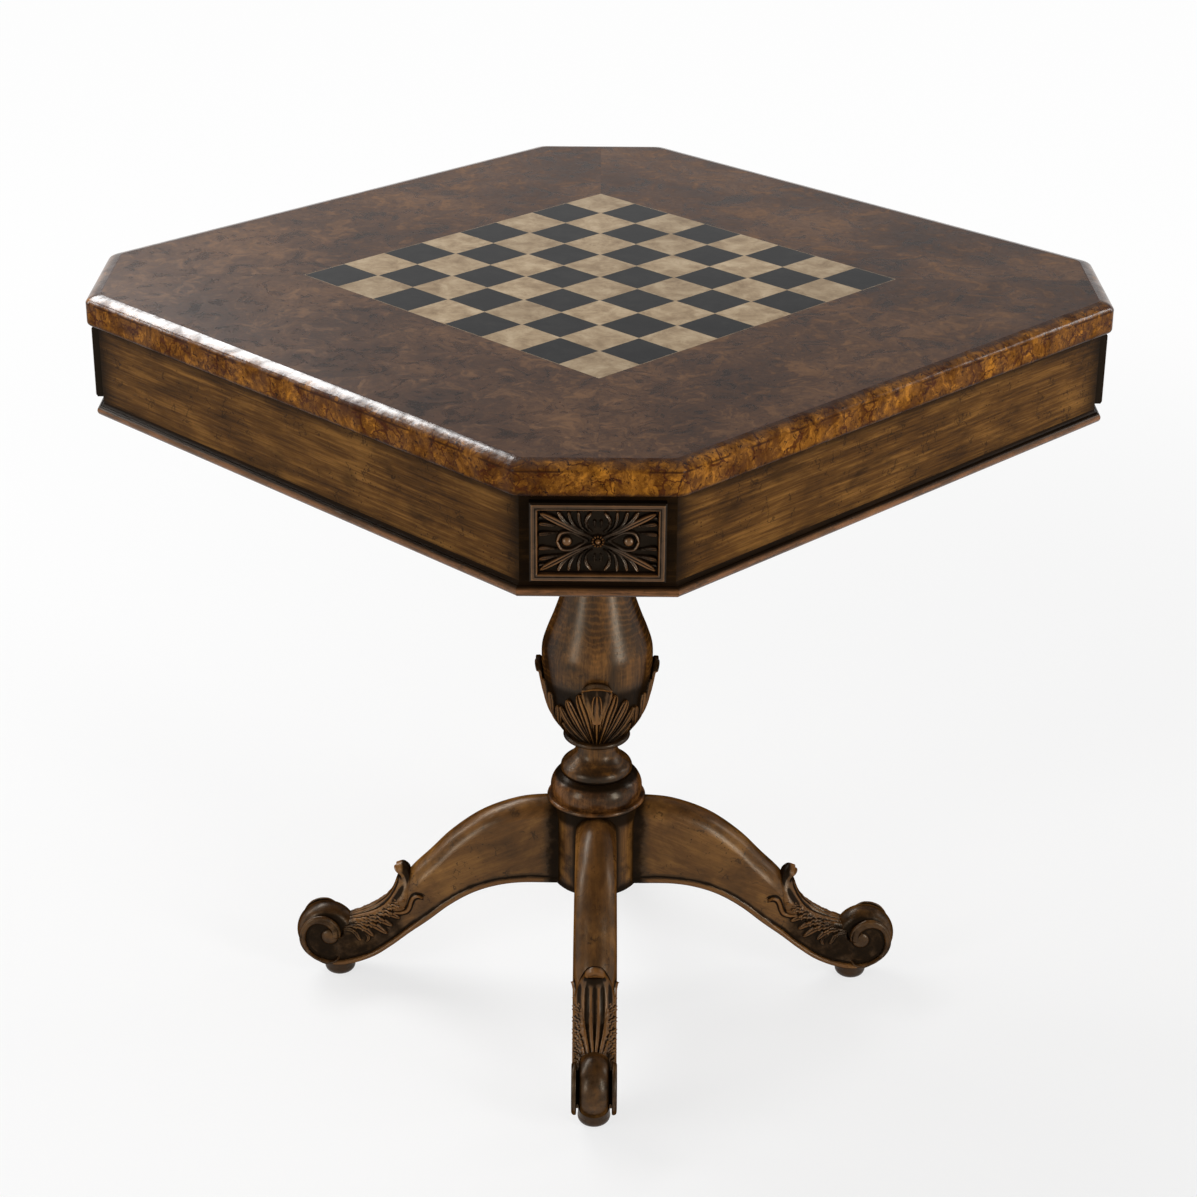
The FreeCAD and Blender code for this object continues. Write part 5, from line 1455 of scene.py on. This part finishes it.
class TABLE_OT_apron(bpy.types.Operator):
    """Apron boards and the moulding along their lower edge"""

    bl_idname = "table.apron"
    bl_label = "Apron and moulding"
    bl_options = {"REGISTER", "UNDO"}

    def execute(self, context):
        gloss = context.scene.table_finish.gloss
        lengthwise = frame_walnut("frame_walnut_front_back", 0.0, 0.0, gloss)
        crosswise = frame_walnut("frame_walnut_left_right", 90.0, 0.0, gloss)
        for step, side in enumerate(SIDES):
            dress("apron_long_" + side, crosswise if step % 2 else lengthwise)
            moulding = moulding_walnut("moulding_walnut_" + side, 90.0 * (step % 2), gloss)
            dress("base_moulding_long_" + side, moulding)
        for step, corner in enumerate(CORNERS):
            turn = 45.0 if step % 2 else -45.0
            # The cants round the rosette plates get painted shade nearly all over
            dress("apron_cant_" + corner, frame_walnut("frame_walnut_back_of_" + corner, turn, 0.85, gloss))
            dress("base_moulding_cant_" + corner, moulding_walnut("moulding_walnut_" + corner, turn, gloss))
        return {"FINISHED"}


class TABLE_OT_rosettes(bpy.types.Operator):
    """Carved rosette plates on the canted corners"""

    bl_idname = "table.rosettes"
    bl_label = "Rosette plates"
    bl_options = {"REGISTER", "UNDO"}

    def execute(self, context):
        settings = context.scene.table_finish
        gloss = settings.gloss * 1.7
        material = carved_walnut("carved_walnut_rosettes", gloss, settings.glaze_and_shade_depth, 0.0, DARK_WALNUT)
        plate = rosette_plate() + np.array([PLATE_BACK, 0.0, 0.0, 0.0])
        wood = plate[:, :, [1, 2, 0]]
        for step, corner in enumerate(CORNERS):
            carving = [shell(plate, wrap=False, grain=wood + 90.0 * step)]
            name, nodes = "rosette_carving_" + corner, ["rosette_plate_" + corner]
            make_piece(name, carving, material, nodes, CORNER_TURN[corner], fill=True)
        return {"FINISHED"}


class TABLE_OT_baluster(bpy.types.Operator):
    """Turned baluster and its cup of four acanthus leaves"""

    bl_idname = "table.baluster"
    bl_label = "Baluster and leaf cup"
    bl_options = {"REGISTER", "UNDO"}

    def execute(self, context):
        settings = context.scene.table_finish
        turned = turned_walnut("turned_walnut_baluster", settings.gloss, settings.curl, BALUSTER_GLAZE_AND_SHADE)
        make_piece("baluster_turning", [shell(turned_body(), reach=WIDE_REACH)], turned, ["baluster"])
        carved = carved_walnut("carved_walnut_cup", settings.gloss, settings.glaze_and_shade_depth, lean=90.0)
        make_piece("acanthus_cup", [shell(leaf_cup())], carved, ["baluster"])
        for corner, turn in CORNER_TURN.items():
            make_piece("acanthus_tip_" + corner, [shell(cup_tip(turn))], carved, ["baluster"])
        return {"FINISHED"}


class TABLE_OT_base(bpy.types.Operator):
    """Turned collar and hub under the baluster"""

    bl_idname = "table.base"
    bl_label = "Collar and hub"
    bl_options = {"REGISTER", "UNDO"}

    def execute(self, context):
        gloss = context.scene.table_finish.gloss
        collar = turned_walnut("turned_walnut_collar", gloss * 0.85, 0.1, COLLAR_GLAZE_AND_SHADE, RED_WALNUT, rough=0.23)
        dress("pedestal_collar", collar)
        dress("pedestal_hub", turned_walnut("turned_walnut_hub", gloss * 0.6, 0.05, HUB_GLAZE_AND_SHADE, WALNUT, by_legs=True))
        return {"FINISHED"}


class TABLE_OT_legs(bpy.types.Operator):
    """Four carved scroll legs"""

    bl_idname = "table.legs"
    bl_label = "Scroll legs"
    bl_options = {"REGISTER", "UNDO"}

    def execute(self, context):
        settings = context.scene.table_finish
        material = carved_walnut("carved_walnut_legs", settings.gloss, settings.glaze_and_shade_depth)
        shells = [shell(leg_body(), reach=WIDE_REACH), shell(leg_scroll(), reach=WIDE_REACH), shell(leg_tip())]
        for step, corner in enumerate(CORNERS):
            name, nodes = "leg_carving_" + corner, ["leg_" + corner]
            if step == 0:
                first = make_piece(name, shells, material, nodes, CORNER_TURN[corner])
            else:
                shift = [value * step for value in LEG_WOOD_SHIFT]
                copy_turned(first, name, nodes, 90.0 * step, shift)
        return {"FINISHED"}


class TABLE_OT_feet(bpy.types.Operator):
    """Pad feet"""

    bl_idname = "table.feet"
    bl_label = "Pad feet"
    bl_options = {"REGISTER", "UNDO"}

    def execute(self, context):
        material = plain_wood("dark_walnut", 0.0, FOOT_TONES, 0.4, context.scene.table_finish.gloss)
        for corner in CORNERS:
            dress("pad_foot_" + corner, material)
        return {"FINISHED"}


class TABLE_OT_hidden(bpy.types.Operator):
    """Unfinished wood and steel parts out of sight"""

    bl_idname = "table.hidden"
    bl_label = "Hidden wood and steel"
    bl_options = {"REGISTER", "UNDO"}

    def execute(self, context):
        for material, nodes in (
            (plain_wood("inner_wood_lengthwise", 0.0, INNER_TONES), LENGTHWISE_NODES),
            (plain_wood("inner_wood_crosswise", 90.0, INNER_TONES), CROSSWISE_NODES),
            (zinc_steel("zinc_steel"), STEEL_NODES),
        ):
            for node in nodes:
                dress(node, material)
        return {"FINISHED"}


class TABLE_OT_stage(bpy.types.Operator):
    """Floor, camera, soft boxes and surrounding light"""

    bl_idname = "table.stage"
    bl_label = "Stage"
    bl_options = {"REGISTER", "UNDO"}

    def execute(self, context):
        scene = context.scene
        stage = scene.table_stage
        scene.view_settings.view_transform = "Standard"
        self.lay_floor(scene)
        self.set_world(scene, stage)
        self.set_camera(scene, stage)
        for name, place, size, share in SIDE_LAMPS:
            self.set_lamp(scene, name, place, size, stage.side_power * share)
        self.set_lamp(scene, *HIGH_LAMP, stage.high_power)
        return {"FINISHED"}

    def lay_floor(self, scene):
        """A pale floor that is white to the camera and keeps the shadow."""
        mesh = bpy.data.meshes.new("stage_floor")
        corners = [(x * FLOOR_HALF, y * FLOOR_HALF, 0.0) for x, y in ((-1, -1), (1, -1), (1, 1), (-1, 1))]
        mesh.from_pydata(corners, [], [(0, 1, 2, 3)])
        floor = bpy.data.objects.new("stage_floor", mesh)
        scene.collection.objects.link(floor)
        finish = Finish("stage_floor")
        pale = finish.add("BsdfDiffuse", {"Color": FLOOR_GREY})
        white = finish.add("Emission", {"Strength": 1.0})
        share = self.seen(finish) * finish.band(finish.vector("LENGTH", finish.place()), *FLOOR_WHITE)
        finish.add("OutputMaterial", {"Surface": finish.add("MixShader", {0: share, 1: pale, 2: white})})
        mesh.materials.append(finish.owner)

    def seen(self, finish):
        """1 where the camera, a gloss or clear matter sees the surface, and 0 where it lights others."""
        camera = finish.add("LightPath", {}, "Is Camera Ray")
        return finish.most(camera, camera.output("Is Transmission Ray"), camera.output("Is Glossy Ray"))

    def set_world(self, scene, stage):
        """Even light from all round, with a white backdrop low down where the camera or a gloss sees it."""
        world = Finish("surroundings", "worlds")
        height = world.axes(world.add("TexCoord", {}, "Generated"))[2]
        backdrop = self.seen(world) * world.add("MapRange", {0: height, 1: BACKDROP[0], 2: BACKDROP[1]})
        strength = world.add("MapRange", {0: backdrop, 3: stage.ambient, 4: 1.0})
        background = world.add("Background", {"Color": CLEAR, "Strength": strength})
        world.add("OutputWorld", {"Surface": background})
        scene.world = world.owner

    def set_camera(self, scene, stage):
        """Camera on its circle round the aim, turned about its own view by the roll."""
        data = bpy.data.cameras.new("camera")
        data.lens = stage.lens
        camera = bpy.data.objects.new("camera", data)
        flat = math.cos(stage.elevation)
        away = Vector((math.sin(stage.azimuth) * flat, -math.cos(stage.azimuth) * flat, math.sin(stage.elevation)))
        look = (-away).to_track_quat("-Z", "Y")
        camera.rotation_mode = "QUATERNION"
        camera.rotation_quaternion = look @ Quaternion((0.0, 0.0, 1.0), stage.roll)
        camera.location = Vector(stage.aim) + away * stage.distance
        scene.collection.objects.link(camera)
        scene.camera = camera

    def set_lamp(self, scene, name, place, size, power):
        """A rectangular soft box that faces the middle of the table."""
        data = bpy.data.lights.new(name, "AREA")
        data.shape = "RECTANGLE"
        data.size, data.size_y = size
        data.energy = power
        lamp = bpy.data.objects.new(name, data)
        lamp.location = place
        lamp.rotation_mode = "QUATERNION"
        lamp.rotation_quaternion = (LAMP_AIM - Vector(place)).to_track_quat("-Z", "Y")
        scene.collection.objects.link(lamp)


class TABLE_PT_panel(bpy.types.Panel):
    """Steps and settings of the games table"""

    bl_idname = "TABLE_PT_panel"
    bl_label = "Games table"
    bl_space_type = "VIEW_3D"
    bl_region_type = "UI"
    bl_category = "Table"

    def draw(self, context):
        column = self.layout.column()
        for operator in STEPS:
            column.operator(operator.bl_idname)
        for group in (context.scene.table_finish, context.scene.table_stage):
            for name in group.__annotations__:
                column.prop(group, name)


STEPS = (
    TABLE_OT_stage, TABLE_OT_top, TABLE_OT_board, TABLE_OT_apron, TABLE_OT_rosettes, TABLE_OT_baluster,
    TABLE_OT_base, TABLE_OT_legs, TABLE_OT_feet, TABLE_OT_hidden,
)
CLASSES = (FinishSettings, StageSettings, *STEPS, TABLE_PT_panel)


def register():
    """Adds the settings, the operators and the panel."""
    for item in CLASSES:
        bpy.utils.register_class(item)
    bpy.types.Scene.table_finish = PointerProperty(type=FinishSettings)
    bpy.types.Scene.table_stage = PointerProperty(type=StageSettings)


def unregister():
    """Takes the settings, the operators and the panel out."""
    del bpy.types.Scene.table_stage
    del bpy.types.Scene.table_finish
    for item in reversed(CLASSES):
        bpy.utils.unregister_class(item)


def main():
    """Runs every step on the loaded frame."""
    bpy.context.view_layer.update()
    register()
    for operator in STEPS:
        group, step = operator.bl_idname.split(".")
        getattr(getattr(bpy.ops, group), step)()


if __name__ == "__main__":
    main()
